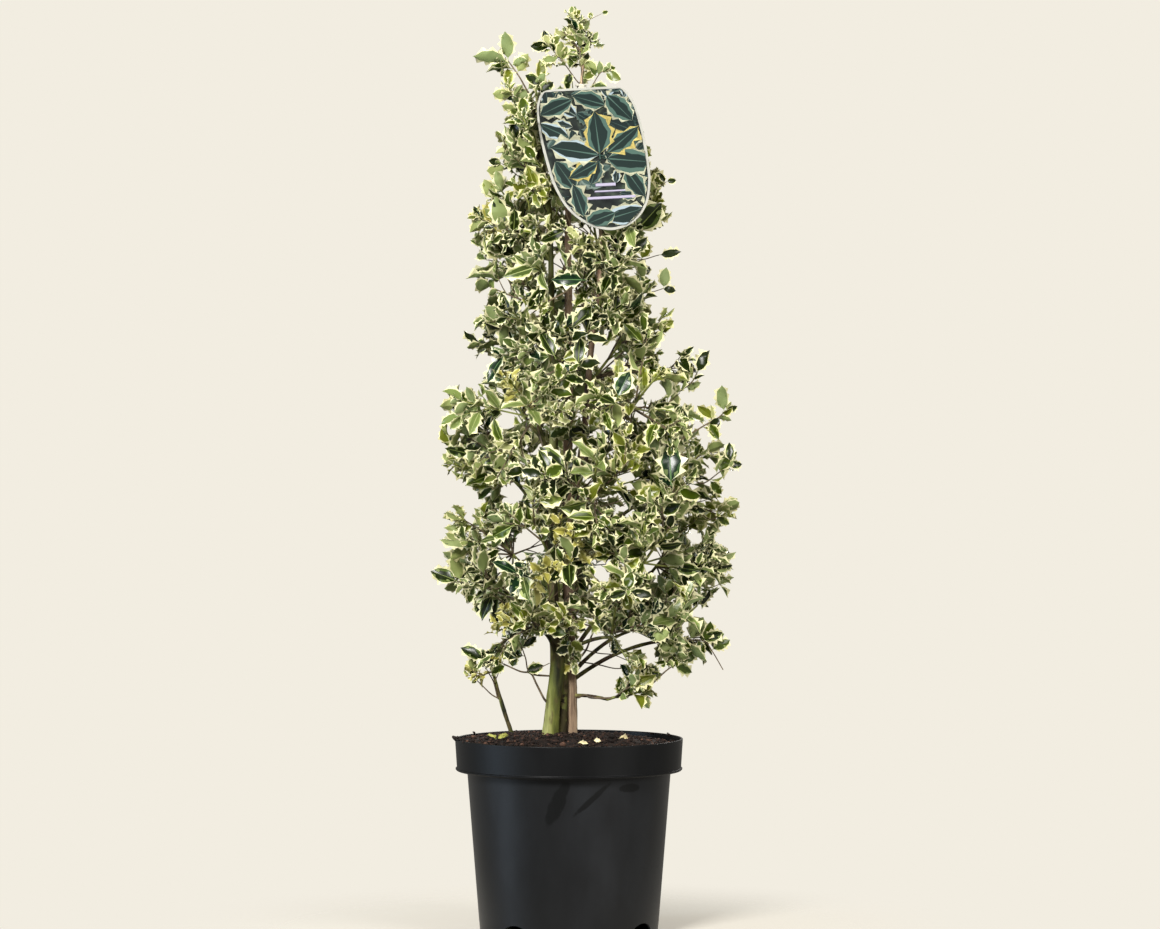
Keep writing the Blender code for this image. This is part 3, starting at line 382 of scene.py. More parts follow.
# Sprays that stand apart in the photograph: name, radius of the shoot, its line, and its leaves
# as share of the line, angle in the front view in degrees, length and tone. The upper side of a
# leaf faces the viewer, unless a last number says -1 for its back, or nearer 0 for more edge-on.
# Where a tuft of small leaves turns about the shoot, its number and sizes come last.
SPRAYS = (
    ("top", 0.0013, ((0.018, 0.000, 1.118), (0.015, -0.002, 1.150), (0.010, -0.003, 1.185),
     (0.005, -0.003, 1.204)),
     ((1.00, 100, 0.015, "pale"), (0.96, 50, 0.015, "olive"), (0.90, 150, 0.012, "deep"),
     (0.60, 20, 0.020, "deep"), (0.45, 340, 0.024, "olive", -1), (0.30, 30, 0.022, "cream")),
     (30, 0.013, 0.021)),
    ("top_side", 0.0010, ((0.012, -0.001, 1.118), (-0.006, -0.006, 1.142), (-0.022, -0.010, 1.160),
     (-0.027, -0.010, 1.166)),
     ((1.00, 108, 0.020, "deep"), (0.86, 176, 0.026, "deep"), (0.62, 214, 0.028, "olive", -1),
     (0.40, 262, 0.024, "deep"), (0.80, 50, 0.022, "cream"), (0.55, 70, 0.020, "cream")),
     (14, 0.014, 0.022)),
    ("top_tip", 0.0005, ((0.010, -0.003, 1.186), (0.026, -0.004, 1.199), (0.043, -0.004, 1.208)),
     ((1.00, 20, 0.009, "mid"), (0.70, 80, 0.010, "olive"))),
    ("label_top", 0.0010, ((0.022, -0.002, 1.100), (0.040, -0.010, 1.128), (0.047, -0.012, 1.130)),
     ((1.00, 335, 0.024, "cream"), (0.60, 120, 0.022, "marbled"), (0.40, 30, 0.022, "deep")),
     (5, 0.016, 0.022)),
    ("left_spire", 0.0014, ((-0.046, -0.006, 1.085), (-0.061, -0.010, 1.117), (-0.072, -0.012, 1.134),
     (-0.080, -0.013, 1.145)),
     ((1.00, 92, 0.039, "pale", -1), (0.94, 160, 0.048, "pale", -0.35), (0.76, 174, 0.036, "deep", 0.4),
     (0.86, 20, 0.022, "pale", -1), (0.66, 60, 0.030, "olive", -1), (0.42, 40, 0.034, "pale", -1),
     (0.34, 150, 0.028, "pale", -1), (0.22, 170, 0.026, "olive"))),
    ("between_spires", 0.0009, ((-0.050, -0.004, 1.056), (-0.042, -0.010, 1.090),
     (-0.036, -0.012, 1.118)),
     ((1.00, 95, 0.028, "olive"), (0.95, 150, 0.024, "deep"), (0.80, 40, 0.026, "deep"),
     (0.60, 180, 0.026, "pale", -1), (0.50, 20, 0.028, "pale", -1), (0.30, 150, 0.026, "olive")),
     (10, 0.014, 0.022)),
    ("left_column", 0.0010, ((-0.050, -0.004, 1.020), (-0.058, -0.010, 1.052), (-0.064, -0.012, 1.084)),
     ((0.95, 168, 0.026, "olive", -1), (0.90, 190, 0.014, "deep"), (0.62, 186, 0.027, "olive", -1),
     (0.50, 150, 0.020, "deep"), (0.30, 200, 0.024, "young")), (16, 0.014, 0.022)),
    ("left_neck", 0.0010, ((-0.066, -0.010, 1.084), (-0.074, -0.014, 1.098), (-0.078, -0.016, 1.110)),
     ((1.00, 100, 0.026, "olive"), (0.70, 175, 0.026, "olive", -1)), (8, 0.014, 0.020)),
    ("left_curl", 0.0008, ((-0.060, -0.010, 0.990), (-0.078, -0.014, 1.003), (-0.088, -0.014, 1.010)),
     ((1.00, 165, 0.018, "deep"), (0.80, 195, 0.027, "olive", -1)), (4, 0.012, 0.018)),
    ("left_high", 0.0010, ((-0.072, -0.012, 0.950), (-0.088, -0.014, 0.958), (-0.097, -0.014, 0.962)),
     ((1.00, 118, 0.031, "olive", -1), (0.60, 60, 0.022, "olive")), (5, 0.014, 0.020)),
    ("left_yellow", 0.0010, ((-0.085, -0.012, 0.925), (-0.106, -0.016, 0.935), (-0.118, -0.018, 0.938)),
     ((1.00, 160, 0.016, "young"), (0.80, 60, 0.026, "young"), (0.70, 215, 0.028, "olive", -1),
     (0.50, 120, 0.024, "young")), (8, 0.016, 0.022)),
    ("left_wing", 0.0010, ((-0.066, -0.014, 0.888), (-0.080, -0.016, 0.892)),
     ((1.00, 178, 0.030, "olive", -1), (0.70, 150, 0.028, "deep"))),
    ("left_pale", 0.0010, ((-0.062, -0.016, 0.804), (-0.078, -0.018, 0.808)),
     ((1.00, 176, 0.031, "pale", -1), (0.70, 300, 0.026, "olive", -1), (0.60, 120, 0.026, "pale", -1))),
    ("left_sage", 0.0010, ((-0.060, -0.030, 0.784), (-0.074, -0.040, 0.798), (-0.082, -0.042, 0.806)),
     ((1.00, 152, 0.032, "pale", -1), (0.85, 250, 0.036, "pale", -1), (0.50, 60, 0.030, "olive", -1),
     (0.40, 300, 0.028, "mid"))),
    ("left_sage_low", 0.0010, ((-0.110, -0.024, 0.638), (-0.132, -0.028, 0.650)),
     ((1.00, 112, 0.030, "pale", -1), (0.80, 250, 0.028, "pale", -1), (0.60, 190, 0.024, "deep"))),
    ("under_label", 0.0010, ((0.008, -0.090, 0.892), (0.018, -0.104, 0.890)),
     ((1.00, 300, 0.027, "deep"), (0.80, 60, 0.024, "deep"))),
    ("right_of_label", 0.0008, ((0.092, -0.014, 0.955), (0.112, -0.016, 0.974), (0.128, -0.016, 0.986)),
     ((1.00, 10, 0.013, "deep"), (0.96, 120, 0.015, "deep"), (0.60, 70, 0.018, "mid"),
     (0.35, 100, 0.018, "deep"))),
    ("dark_by_label", 0.0012, ((0.062, -0.030, 0.902), (0.086, -0.036, 0.918)),
     ((1.00, 48, 0.052, "deep"), (0.60, 120, 0.026, "mid"))),
    ("right_point", 0.0010, ((0.088, -0.012, 0.884), (0.118, -0.012, 0.890)),
     ((1.00, 6, 0.029, "deep"), (0.60, 70, 0.026, "olive"))),
    ("right_oval", 0.0010, ((0.092, -0.014, 0.836), (0.112, -0.016, 0.842), (0.124, -0.016, 0.846)),
     ((1.00, 82, 0.028, "pale", -1), (0.96, 352, 0.018, "deep"), (0.50, 110, 0.024, "mid"))),
    ("front_glossy", 0.0012, ((0.010, -0.080, 0.846), (0.022, -0.112, 0.852)),
     ((1.00, 178, 0.044, "glossy"),)),
    ("front_cream", 0.0012, ((-0.008, -0.110, 0.742), (-0.016, -0.134, 0.750)),
     ((1.00, 118, 0.042, "deep"), (0.80, 20, 0.034, "olive"))),
    ("front_star", 0.0012, ((0.006, -0.110, 0.732), (0.012, -0.136, 0.742)),
     ((1.00, 86, 0.036, "deep"), (0.90, 10, 0.030, "deep"), (0.80, 200, 0.030, "glossy"))),
    ("shiny_pair", 0.0012, ((0.050, -0.110, 0.690), (0.062, -0.130, 0.700)),
     ((1.00, 66, 0.038, "glossy"), (0.90, 280, 0.036, "olive", -1))),
    ("long_glossy", 0.0014, ((0.110, -0.110, 0.575), (0.131, -0.128, 0.588)),
     ((1.00, 92, 0.058, "glossy"), (0.80, 200, 0.034, "olive"))),
    ("front_low", 0.0012, ((0.066, -0.140, 0.448), (0.072, -0.170, 0.452), (0.076, -0.192, 0.456)),
     ((1.00, 345, 0.032, "deep"), (0.95, 200, 0.026, "deep"), (0.85, 80, 0.026, "mid"),
     (0.70, 285, 0.024, "olive")), (5, 0.014, 0.020)),
    ("front_middle", 0.0012, ((-0.024, -0.130, 0.592), (-0.028, -0.158, 0.597), (-0.031, -0.178, 0.601)),
     ((1.00, 165, 0.030, "deep"), (0.95, 30, 0.026, "mid"), (0.80, 265, 0.026, "deep")),
     (4, 0.014, 0.020)),
    ("right_upper", 0.0014, ((0.092, -0.014, 0.688), (0.130, -0.016, 0.704), (0.158, -0.018, 0.720),
     (0.168, -0.018, 0.735)),
     ((1.00, 62, 0.034, "deep"), (0.85, 120, 0.030, "olive", -1), (0.60, 250, 0.026, "olive", -1),
     (0.70, 100, 0.026, "mid")), (4, 0.016, 0.022)),
    ("right_crown", 0.0014, ((0.140, -0.016, 0.640), (0.174, -0.018, 0.664), (0.195, -0.018, 0.676),
     (0.206, -0.018, 0.686)),
     ((0.94, 98, 0.037, "pale", -1), (1.00, 20, 0.016, "deep"), (0.70, 140, 0.030, "olive"),
     (0.60, 300, 0.026, "mid"), (0.80, 240, 0.022, "deep")), (5, 0.014, 0.022)),
    ("right_side", 0.0012, ((0.172, -0.018, 0.590), (0.196, -0.020, 0.604), (0.212, -0.020, 0.618)),
     ((1.00, 96, 0.026, "deep"), (0.90, 10, 0.020, "deep"), (0.70, 60, 0.030, "mid"),
     (0.50, 310, 0.026, "mid")), (5, 0.014, 0.022)),
    ("right_long", 0.0010, ((0.180, -0.018, 0.545), (0.200, -0.020, 0.552)),
     ((1.00, 42, 0.028, "olive", -1), (0.80, 330, 0.020, "mid"))),
    ("left_tier", 0.0014, ((-0.098, -0.014, 0.655), (-0.122, -0.016, 0.676), (-0.138, -0.018, 0.692)),
     ((1.00, 178, 0.031, "olive", -1), (0.80, 166, 0.028, "deep"), (0.60, 160, 0.034, "pale", -1),
     (0.85, 80, 0.024, "mid")), (4, 0.014, 0.020)),
    ("left_pair", 0.0014, ((-0.075, -0.016, 0.610), (-0.098, -0.018, 0.622), (-0.126, -0.018, 0.628)),
     ((1.00, 167, 0.038, "deep"), (0.55, 162, 0.038, "deep"), (0.80, 100, 0.034, "pale", -1),
     (0.75, 220, 0.028, "olive", -1))),
    ("left_far", 0.0014, ((-0.092, -0.014, 0.452), (-0.122, -0.018, 0.456), (-0.146, -0.020, 0.462)),
     ((1.00, 157, 0.038, "deep"), (0.94, 104, 0.038, "olive", -1), (0.60, 140, 0.040, "deep"),
     (0.70, 250, 0.024, "mid"))),
    ("left_dark", 0.0014, ((-0.080, -0.020, 0.430), (-0.100, -0.030, 0.446)),
     ((1.00, 246, 0.038, "deep"),)),
    ("sucker_left", 0.0011, ((-0.0944, 0.027, 0.306), (-0.103, 0.024, 0.311), (-0.114, 0.020, 0.322),
     (-0.125, 0.018, 0.333)),
     ((1.00, 98, 0.028, "olive", -1), (0.92, 205, 0.008, "mid"))),
    ("sucker_right", 0.0012, ((-0.0944, 0.027, 0.306), (-0.100, 0.020, 0.328), (-0.109, 0.014, 0.345),
     (-0.112, 0.008, 0.358)),
     ((1.00, 150, 0.034, "deep"), (0.90, 40, 0.024, "cream"), (0.80, 100, 0.024, "mid")),
     (3, 0.012, 0.018)),
    ("sucker_fork", 0.0009, ((-0.099, 0.021, 0.325), (-0.093, 0.014, 0.340), (-0.087, 0.006, 0.356)),
     ((1.00, 70, 0.024, "olive"),)),
    ("low_left", 0.0017, ((-0.030, -0.014, 0.304), (-0.042, -0.018, 0.326), (-0.050, -0.020, 0.341),
     (-0.064, -0.022, 0.344), (-0.086, -0.024, 0.354)),
     ((0.72, 20, 0.026, "deep"), (1.00, 150, 0.026, "young"), (0.97, 210, 0.022, "mid"),
     (0.90, 80, 0.022, "mid"))),
    ("low_left_up", 0.0012, ((-0.050, -0.020, 0.341), (-0.057, -0.022, 0.362), (-0.064, -0.024, 0.382)),
     ((1.00, 140, 0.026, "deep"), (0.90, 30, 0.024, "deep"), (0.70, 170, 0.030, "deep"))),
    ("low_left_in", 0.0009, ((-0.050, -0.020, 0.341), (-0.039, -0.022, 0.348), (-0.025, -0.024, 0.355)),
     ()),
    ("low_right", 0.0016, ((0.0120, 0.004, 0.308), (0.022, -0.010, 0.3123), (0.030, -0.018, 0.309),
     (0.064, -0.022, 0.310), (0.094, -0.026, 0.318), (0.111, -0.028, 0.330), (0.127, -0.028, 0.345),
     (0.144, -0.028, 0.357)),
     ((0.52, 100, 0.026, "mid"), (0.50, 45, 0.028, "deep"), (0.58, 20, 0.026, "mid", -0.5),
     (0.72, 100, 0.024, "olive"), (0.62, 300, 0.025, "olive", -1), (0.66, 330, 0.020, "olive", -0.5),
     (0.85, 200, 0.024, "mid"), (0.90, 80, 0.028, "deep"), (1.00, 30, 0.026, "mid"),
     (0.95, 340, 0.026, "marbled"), (0.80, 130, 0.022, "deep"))),
    ("low_right_second", 0.0012, ((0.010, 0.000, 0.356), (0.039, -0.020, 0.3525), (0.061, -0.026, 0.348),
     (0.083, -0.028, 0.350)),
     ((1.00, 350, 0.028, "deep"), (0.97, 60, 0.028, "olive"), (0.90, 290, 0.020, "mid"))),
    ("low_right_third", 0.0010, ((0.016, -0.002, 0.372), (0.039, -0.022, 0.3677), (0.058, -0.028, 0.366),
     (0.078, -0.030, 0.358)),
     ((1.00, 340, 0.022, "young"), (0.80, 100, 0.022, "glossy"))),
    ("green_shoot", 0.0018, ((0.004, -0.012, 0.352), (0.021, -0.024, 0.370), (0.028, -0.030, 0.387),
     (0.036, -0.034, 0.409), (0.039, -0.036, 0.437)),
     ((0.20, 210, 0.022, "young"), (0.35, 160, 0.022, "deep"))),
    ("stem_front", 0.0011, ((0.000, -0.006, 0.430), (0.002, -0.030, 0.412), (0.000, -0.046, 0.392)),
     ((1.00, 250, 0.022, "mid"), (0.80, 200, 0.024, "cream"), (0.70, 330, 0.024, "deep"),
     (0.50, 160, 0.022, "cream")), (14, 0.014, 0.022)),
    ("stem_front_low", 0.0009, ((0.000, -0.046, 0.392), (0.004, -0.050, 0.374), (0.006, -0.050, 0.360)),
     ((1.00, 280, 0.020, "cream"), (0.60, 200, 0.022, "deep"), (0.50, 330, 0.022, "olive")),
     (7, 0.012, 0.018)),
    ("stem_cover_low", 0.0011, ((-0.001, -0.006, 0.640), (0.004, -0.034, 0.652), (0.002, -0.058, 0.668)),
     ((1.00, 95, 0.030, "deep"), (0.90, 200, 0.030, "mid"), (0.80, 320, 0.030, "olive"),
     (0.60, 150, 0.028, "deep"), (0.60, 30, 0.028, "marbled")), (8, 0.018, 0.026)),
    ("stem_cover_high", 0.0011, ((-0.001, -0.006, 0.690), (-0.008, -0.034, 0.698),
     (-0.010, -0.054, 0.708)),
     ((1.00, 80, 0.030, "mid"), (0.90, 190, 0.028, "deep"), (0.80, 300, 0.030, "deep"),
     (0.50, 10, 0.026, "olive")), (6, 0.018, 0.026)),
    ("leader_cover", 0.0011, ((0.016, 0.024, 0.640), (0.024, -0.020, 0.650), (0.026, -0.048, 0.660)),
     ((1.00, 60, 0.030, "olive"), (0.90, 180, 0.030, "deep"), (0.80, 290, 0.030, "mid")),
     (8, 0.018, 0.026)),
    ("far_right", 0.0012, ((0.125, -0.016, 0.386), (0.158, -0.020, 0.385), (0.177, -0.022, 0.384),
     (0.188, -0.022, 0.370), (0.202, -0.022, 0.346)),
     ((0.40, 60, 0.036, "marbled", -1), (0.55, 20, 0.030, "deep"), (0.62, 75, 0.028, "mid"),
     (0.78, 30, 0.028, "mid"), (0.50, 290, 0.022, "mid"), (0.20, 110, 0.030, "deep"),
     (0.10, 250, 0.026, "mid"))),
)

# Label: its outline is share of the length down from the top, share of the half width
LABEL_LENGTH = 0.205
LABEL_WIDTH = 0.135
LABEL_THICKNESS = 0.0012
LABEL_TOP = Vector((0.0170, -0.024, 1.108))
LABEL_TILT = 3.0
LABEL_SKEW = 0.140
LABEL_LEAN = 20.0
LABEL_OUTLINE = (
    (0.000, 0.60),
    (0.007, 0.71),
    (0.028, 0.81),
    (0.072, 0.89),
    (0.150, 0.96),
    (0.320, 1.00),
    (0.480, 0.99),
    (0.640, 0.95),
    (0.740, 0.88),
    (0.820, 0.79),
    (0.890, 0.65),
    (0.940, 0.49),
    (0.975, 0.32),
    (0.993, 0.15),
)
LABEL_ROOM = 0.008
LABEL_BORDER = 0.0036
PRINT_RAISE = 0.00003
BACK_LEAVES = 70
BACK_LEAF_LENGTHS = (0.020, 0.040)
STRAP_WIDTH = 0.007
STRAP_SINK = 0.006
STRAP_RING = 0.0075
STRAP_HOLE = 0.0048
STRAP_THICKNESS = 0.0008
STRAP_WIRE = 0.0012
STRAP_STEPS = 32
LABEL_CREASE = 40.0
LABEL_MIDDLE = 0.48
LABEL_KINDS = range(30, 36)
PRINT_MIDDLE = 0.55
# Roughness and shine of the label's print
PRINT_GLOSS = (0.35, 0.2)
# The label's flat colours, as seen, and the numbers of some of its materials
LABEL_INKS = {
    "leaf_dark": (16, 30, 28), "leaf_mid": (58, 80, 72), "leaf_edge": (182, 182, 156),
    "back_dark": (14, 26, 26), "back_mid": (50, 68, 64), "back_pale": (90, 103, 96),
    "leaf_yellow": (196, 180, 108), "leaf_blue": (128, 142, 148), "stripe": (142, 137, 156),
}
BORDER, GROUND, STRAP, STRIPE = 0, 1, 5, 11
# The numbers of the materials of the zones of a printed leaf behind the others
BACK_LOOKS = ((6, 7, 8, 7, 7), (6, 6, 7, 7, 6), (7, 8, 8, 6, 8), (6, 7, 4, 7, 7), (6, 10, 4, 8, 7))
# The printed leaves in front: share across, share down, turn in degrees, length, look
LABEL_LEAVES = (
    (-0.55, 0.13, 205.0, 0.050, "cream"),
    (0.10, 0.10, 160.0, 0.046, "cream"),
    (0.62, 0.15, 310.0, 0.050, "cream"),
    (-0.70, 0.30, 150.0, 0.046, "blue"),
    (-0.66, 0.62, 120.0, 0.048, "cream"),
    (-0.52, 0.80, 105.0, 0.050, "cream"),
    (0.62, 0.68, 300.0, 0.048, "cream"),
    (0.30, 0.90, 15.0, 0.056, "blue"),
    (-0.16, 0.92, 200.0, 0.044, "cream"),
    (-0.28, 0.58, 208.0, 0.044, "yellow"),
    (0.60, 0.53, 352.0, 0.062, "cream"),
    (0.54, 0.39, 40.0, 0.058, "yellow"),
    (-0.36, 0.45, 167.0, 0.066, "blue"),
    (0.10, 0.34, 94.0, 0.062, "yellow"),
)
LABEL_LOOKS = {"cream": (2, 3, 4, 3, 3), "yellow": (2, 3, 9, 3, 3), "blue": (2, 10, 4, 3, 3)}
# Plain pale stripes in place of the label's words: share across, share down, length, width
LABEL_STRIPES = (
    (0.06, 0.690, 0.026, 0.0040),
    (0.12, 0.735, 0.040, 0.0020),
    (0.12, 0.780, 0.062, 0.0034),
)

UP = Vector((0.0, 0.0, 1.0))

# Colours of the leaves of one spray, as seen: centre, flank, edge, midrib, back
TONES = {
    "deep": ((18, 29, 0), (64, 79, 26), (198, 194, 154), (98, 110, 54), (106, 118, 68)),
    "glossy": ((10, 32, 14), (40, 66, 30), (198, 196, 160), (70, 98, 58), (96, 110, 68)),
    "mid": ((48, 62, 4), (104, 117, 46), (198, 194, 151), (126, 138, 70), (116, 127, 74)),
    "olive": ((86, 93, 22), (136, 142, 68), (198, 193, 146), (150, 155, 84), (120, 129, 74)),
    "marbled": ((58, 72, 28), (150, 157, 101), (200, 196, 158), (147, 154, 99), (120, 131, 82)),
    "pale": ((96, 110, 56), (130, 142, 88), (198, 194, 152), (140, 149, 94), (108, 121, 75)),
    "cream": ((84, 94, 38), (190, 186, 132), (202, 198, 156), (176, 174, 118), (150, 153, 100)),
    "young": ((142, 137, 64), (178, 172, 100), (198, 192, 132), (170, 164, 94), (152, 148, 84)),
}
TONE_WEIGHTS = {
    "deep": 32, "glossy": 5, "mid": 21, "olive": 13, "marbled": 11, "pale": 8, "cream": 9, "young": 1,
}
# Leaf size by tone, where it isn't 1
TONE_SIZES = {"young": 0.60, "cream": 0.76}
# Sprays of young yellow leaves: places to the right of the pot's axis and their heights
YOUNG_SPOTS = (
    (-0.110, 0.943),
    (-0.072, 0.713),
    (0.008, 0.509),
    (-0.026, 0.450),
    (0.225, 0.476),
)
YOUNG_RADIUS = 0.028
# The share of leaves whose tone isn't their spray's
ODD_LEAVES = 0.15
ODD_TONES = 5
# How rough each zone of a leaf is, in the order of a tone's colours
LEAF_ROUGHNESS = {"centre": 0.29, "flank": 0.34, "edge": 0.42, "midrib": 0.42, "back": 0.60}
GLOSSY_ROUGHNESS = 0.26
LEAF_SHINE = 0.26
ZONES = tuple(LEAF_ROUGHNESS)

# Noise in the materials: its detail, the values that it mostly takes, and the edge of flecks
GRAIN_DETAIL = 8.0
FLECK_DETAIL = 6.0
FINE_DETAIL = 4.0
NOISE_SPAN = (0.3, 0.7)
FLECK_BLUR = 0.04
# Barks: name, colours as seen from the darkest, the grain's scale, stretch, roughness and relief,
# flecks and shine
BARK_STOPS = (0.34, 0.44, 0.54, 0.66)
BARKS = (
    ("green_bark", ((26, 28, 10), (56, 60, 22), (86, 90, 36), (128, 128, 78)),
     (60.0, (1, 1, 0.16), (0.55, 0.8), (700, 0.5, 0.0007)), ((68, 60, 34), 62.0, (1, 1, 0.40), 0.42), 0.22),
    ("brown_bark", ((46, 35, 27), (86, 69, 54), (122, 102, 82), (172, 152, 126)),
     (90.0, (1, 1, 0.12), (0.65, 0.9), (800, 0.6, 0.0008)), ((86, 62, 48), 34.0, (1, 1, 0.5), 0.40), 0.25),
    ("bough_bark", ((30, 28, 14), (58, 58, 28), (84, 84, 42), (122, 116, 72)),
     (70.0, (1, 1, 0.5), (0.6, 0.85), (800, 0.5, 0.0006)), ((62, 50, 36), 40.0, (1, 1, 1), 0.46), 0.22),
)


def linear(colour):
    """The linear value, fully opaque, of a colour given as it is seen, from 0 to 255."""
    shares = [channel / 255 for channel in colour]
    return [*(s / 12.92 if s <= 0.04045 else ((s + 0.055) / 1.055) ** 2.4 for s in shares), 1.0]


# Lines and places


def between(table, at):
    """The rows of a table, sorted by its first column, read at a value between them."""
    low = table[0]
    for high in table[1:]:
        if at <= high[0]:
            share = max(0.0, (at - low[0]) / (high[0] - low[0]))
            return [a + (b - a) * share for a, b in zip(low, high)]
        low = high
    return list(low)


def crown_axis(height):
    """The crown's middle at this height."""
    _, left, right = between(CROWN, height)
    return Vector(((right - left) / 2, 0.0, height))


def crown_reach(height):
    """The crown's radius about its own middle at this height."""
    _, left, right = between(CROWN, height)
    return (left + right) / 2


def outward(azimuth):
    """The level direction at this azimuth in degrees."""
    return Vector((math.cos(math.radians(azimuth)), math.sin(math.radians(azimuth)), 0.0))


def spline_point(before, a, b, after, t):
    """The point this share of the way from a to b, on a smooth line through all four."""
    first = (b - before) * t
    square = (2 * before - 5 * a + 4 * b - after) * t * t
    cube = (3 * a - before - 3 * b + after) * t * t * t
    return 0.5 * (2 * a + first + square + cube)


def catmull_rom(stations, samples):
    """Points and radii along a smooth line through stations of x, y, z and radius."""
    rows = [Vector(s) for s in stations]
    rows = [2 * rows[0] - rows[1], *rows, 2 * rows[-1] - rows[-2]]
    found = []
    for four in zip(rows, rows[1:], rows[2:], rows[3:]):
        found += [spline_point(*four, i / samples) for i in range(samples)]
    found.append(rows[-2])
    return [row.xyz for row in found], [row[3] for row in found]


def bezier(start, bend, end, count):
    """Points along a quadratic curve."""
    shares = [i / (count - 1) for i in range(count)]
    return [(1 - t) ** 2 * start + 2 * t * (1 - t) * bend + t * t * end for t in shares]


def spot_on(path, share):
    """The place that lies this share of the way along a path."""
    reach = share * (len(path) - 1)
    first = min(int(reach), len(path) - 2)
    return path[first].lerp(path[first + 1], reach - first)


def random_step(rng, reach):
    """A step of up to this much along each axis, at random."""
    return Vector([rng.uniform(-reach, reach) for _ in range(3)])


def tapered(first, last, count):
    """Radii that narrow evenly."""
    return [first + (last - first) * i / (count - 1) for i in range(count)]


def path_length(path):
    """The length of a path."""
    return sum((b - a).length for a, b in zip(path, path[1:]))


def rounded(corners, steps=5):
    """A line through corners of radius, height and rounding, with each corner rounded."""
    found = []
    for before, corner, after in zip([corners[0], *corners], corners, [*corners[1:], corners[-1]]):
        middle = Vector(corner[:2])
        if corner[2] == 0.0:
            found.append(middle)
            continue
        back = (Vector(before[:2]) - middle).normalized() * corner[2]
        on = (Vector(after[:2]) - middle).normalized() * corner[2]
        for i in range(steps + 1):
            t = i / steps
            found.append(middle + back * (1 - t) ** 2 + on * t * t)
    return found


def frames_along(points):
    """Two directions across a path at each point, which don't spin about it."""
    side = (points[1] - points[0]).orthogonal().normalized()
    found = []
    for before, after in zip([points[0], *points], [*points[1:], points[-1]]):
        along = (after - before).normalized()
        side = (side - along * side.dot(along)).normalized()
        found.append((side, along.cross(side)))
    return found


# Meshes


class Shape:
    """Triangles of many small forms, gathered for one mesh, each with its material's number."""

    def __init__(self):
        self.points, self.faces, self.slots, self.count = [], [], [], 0

    def add(self, points, faces, slots=0):
        faces = np.asarray(faces, int)
        self.points.append(np.asarray(points, float))
        self.faces.append(faces + self.count)
        self.slots.append(np.broadcast_to(np.asarray(slots, int), (len(faces),)))
        self.count += len(points)

    def piece(self, name, materials, crease=50.0):
        """One mesh object, smooth except where it folds by more than crease degrees."""
        points = np.concatenate(self.points)
        faces = np.concatenate(self.faces)
        mesh = bpy.data.meshes.new(name)
        mesh.vertices.add(len(points))
        mesh.vertices.foreach_set("co", points.ravel())
        mesh.loops.add(faces.size)
        mesh.loops.foreach_set("vertex_index", faces.ravel())
        mesh.polygons.add(len(faces))
        mesh.polygons.foreach_set("loop_start", np.arange(0, faces.size, 3))
        mesh.polygons.foreach_set("material_index", np.concatenate(self.slots))
        mesh.update(calc_edges=True)
        mesh.shade_smooth()
        mesh.set_sharp_from_angle(angle=math.radians(crease))
        for material in materials:
            mesh.materials.append(material)
        made = bpy.data.objects.new(name, mesh)
        bpy.context.scene.collection.objects.link(made)
        return made


def grid_faces(rows, columns):
    """Triangles of a grid of points in rows, each of which closes on itself."""
    i, j = np.meshgrid(np.arange(rows - 1), np.arange(columns), indexing="ij")
    a, b = i * columns + j, i * columns + (j + 1) % columns
    c, d = b + columns, a + columns
    first = np.stack([a, b, c], axis=-1).reshape(-1, 3)
    second = np.stack([a, c, d], axis=-1).reshape(-1, 3)
    return np.concatenate([first, second])


def fan(tip, first, count, flip=False):
    """Triangles from one point to a ring of points that starts at first."""
    pairs = [(first + i, first + (i + 1) % count) for i in range(count)]
    return [(tip, b, a) if flip else (tip, a, b) for a, b in pairs]


def moved(points, frame):
    """An array of points, moved by a matrix."""
    matrix = np.array(frame)
    return np.array(points) @ matrix[:3, :3].T + matrix[:3, 3]


def tube(shape, path, radii, sides, slot=0, relief=None):
    """Adds a tube along a path, with its ends closed by fans, and relief on its side."""
    rings = []
    for point, radius, (side, other) in zip(path, radii, frames_along(path)):
        for i in range(sides):
            turn = 2 * math.pi * i / sides
            away = side * math.cos(turn) + other * math.sin(turn)
            swell = relief(point + away * radius, turn) if relief else 0.0
            rings.append(point + away * (radius + swell))
    points = [path[0], *rings, path[-1]]
    last = 1 + (len(path) - 1) * sides
    ends = fan(0, 1, sides, flip=True) + fan(len(points) - 1, last, sides)
    shape.add(points, np.concatenate([grid_faces(len(path), sides) + 1, ends]), slot)


def baked(source, name):
    """A mesh object that holds the evaluated shape of source, which is removed."""
    bpy.context.view_layer.update()
    graph = bpy.context.evaluated_depsgraph_get()
    mesh = bpy.data.meshes.new_from_object(source.evaluated_get(graph))
    bpy.data.objects.remove(source)
    made = bpy.data.objects.new(name, mesh)
    bpy.context.scene.collection.objects.link(made)
    return made


def settle(piece, replaced=()):
    """Sets a piece on the tree: hides the CAD nodes it stands for, and attaches it to its body."""
    if replaced:
        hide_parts(*replaced)
    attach(piece, "root")


# Materials


def set_inputs(tree, node, inputs):
    """Sets a node's inputs to values, or joins them to other nodes' outputs."""
    for name, value in inputs.items():
        if isinstance(value, bpy.types.NodeSocket):
            tree.links.new(value, node.inputs[name])
        else:
            node.inputs[name].default_value = value
    return node


def add_node(tree, kind, inputs, **settings):
    """A shader node of this kind, with its settings and its inputs."""
    node = tree.nodes.new(f"ShaderNode{kind}")
    for name, value in settings.items():
        setattr(node, name, value)
    return set_inputs(tree, node, inputs)


def new_material(name, inputs):
    """A material whose shader has these inputs, with its tree and its shader."""
    material = bpy.data.materials.new(name)
    material.use_nodes = True
    tree = material.node_tree
    return material, tree, set_inputs(tree, tree.nodes["Principled BSDF"], inputs)


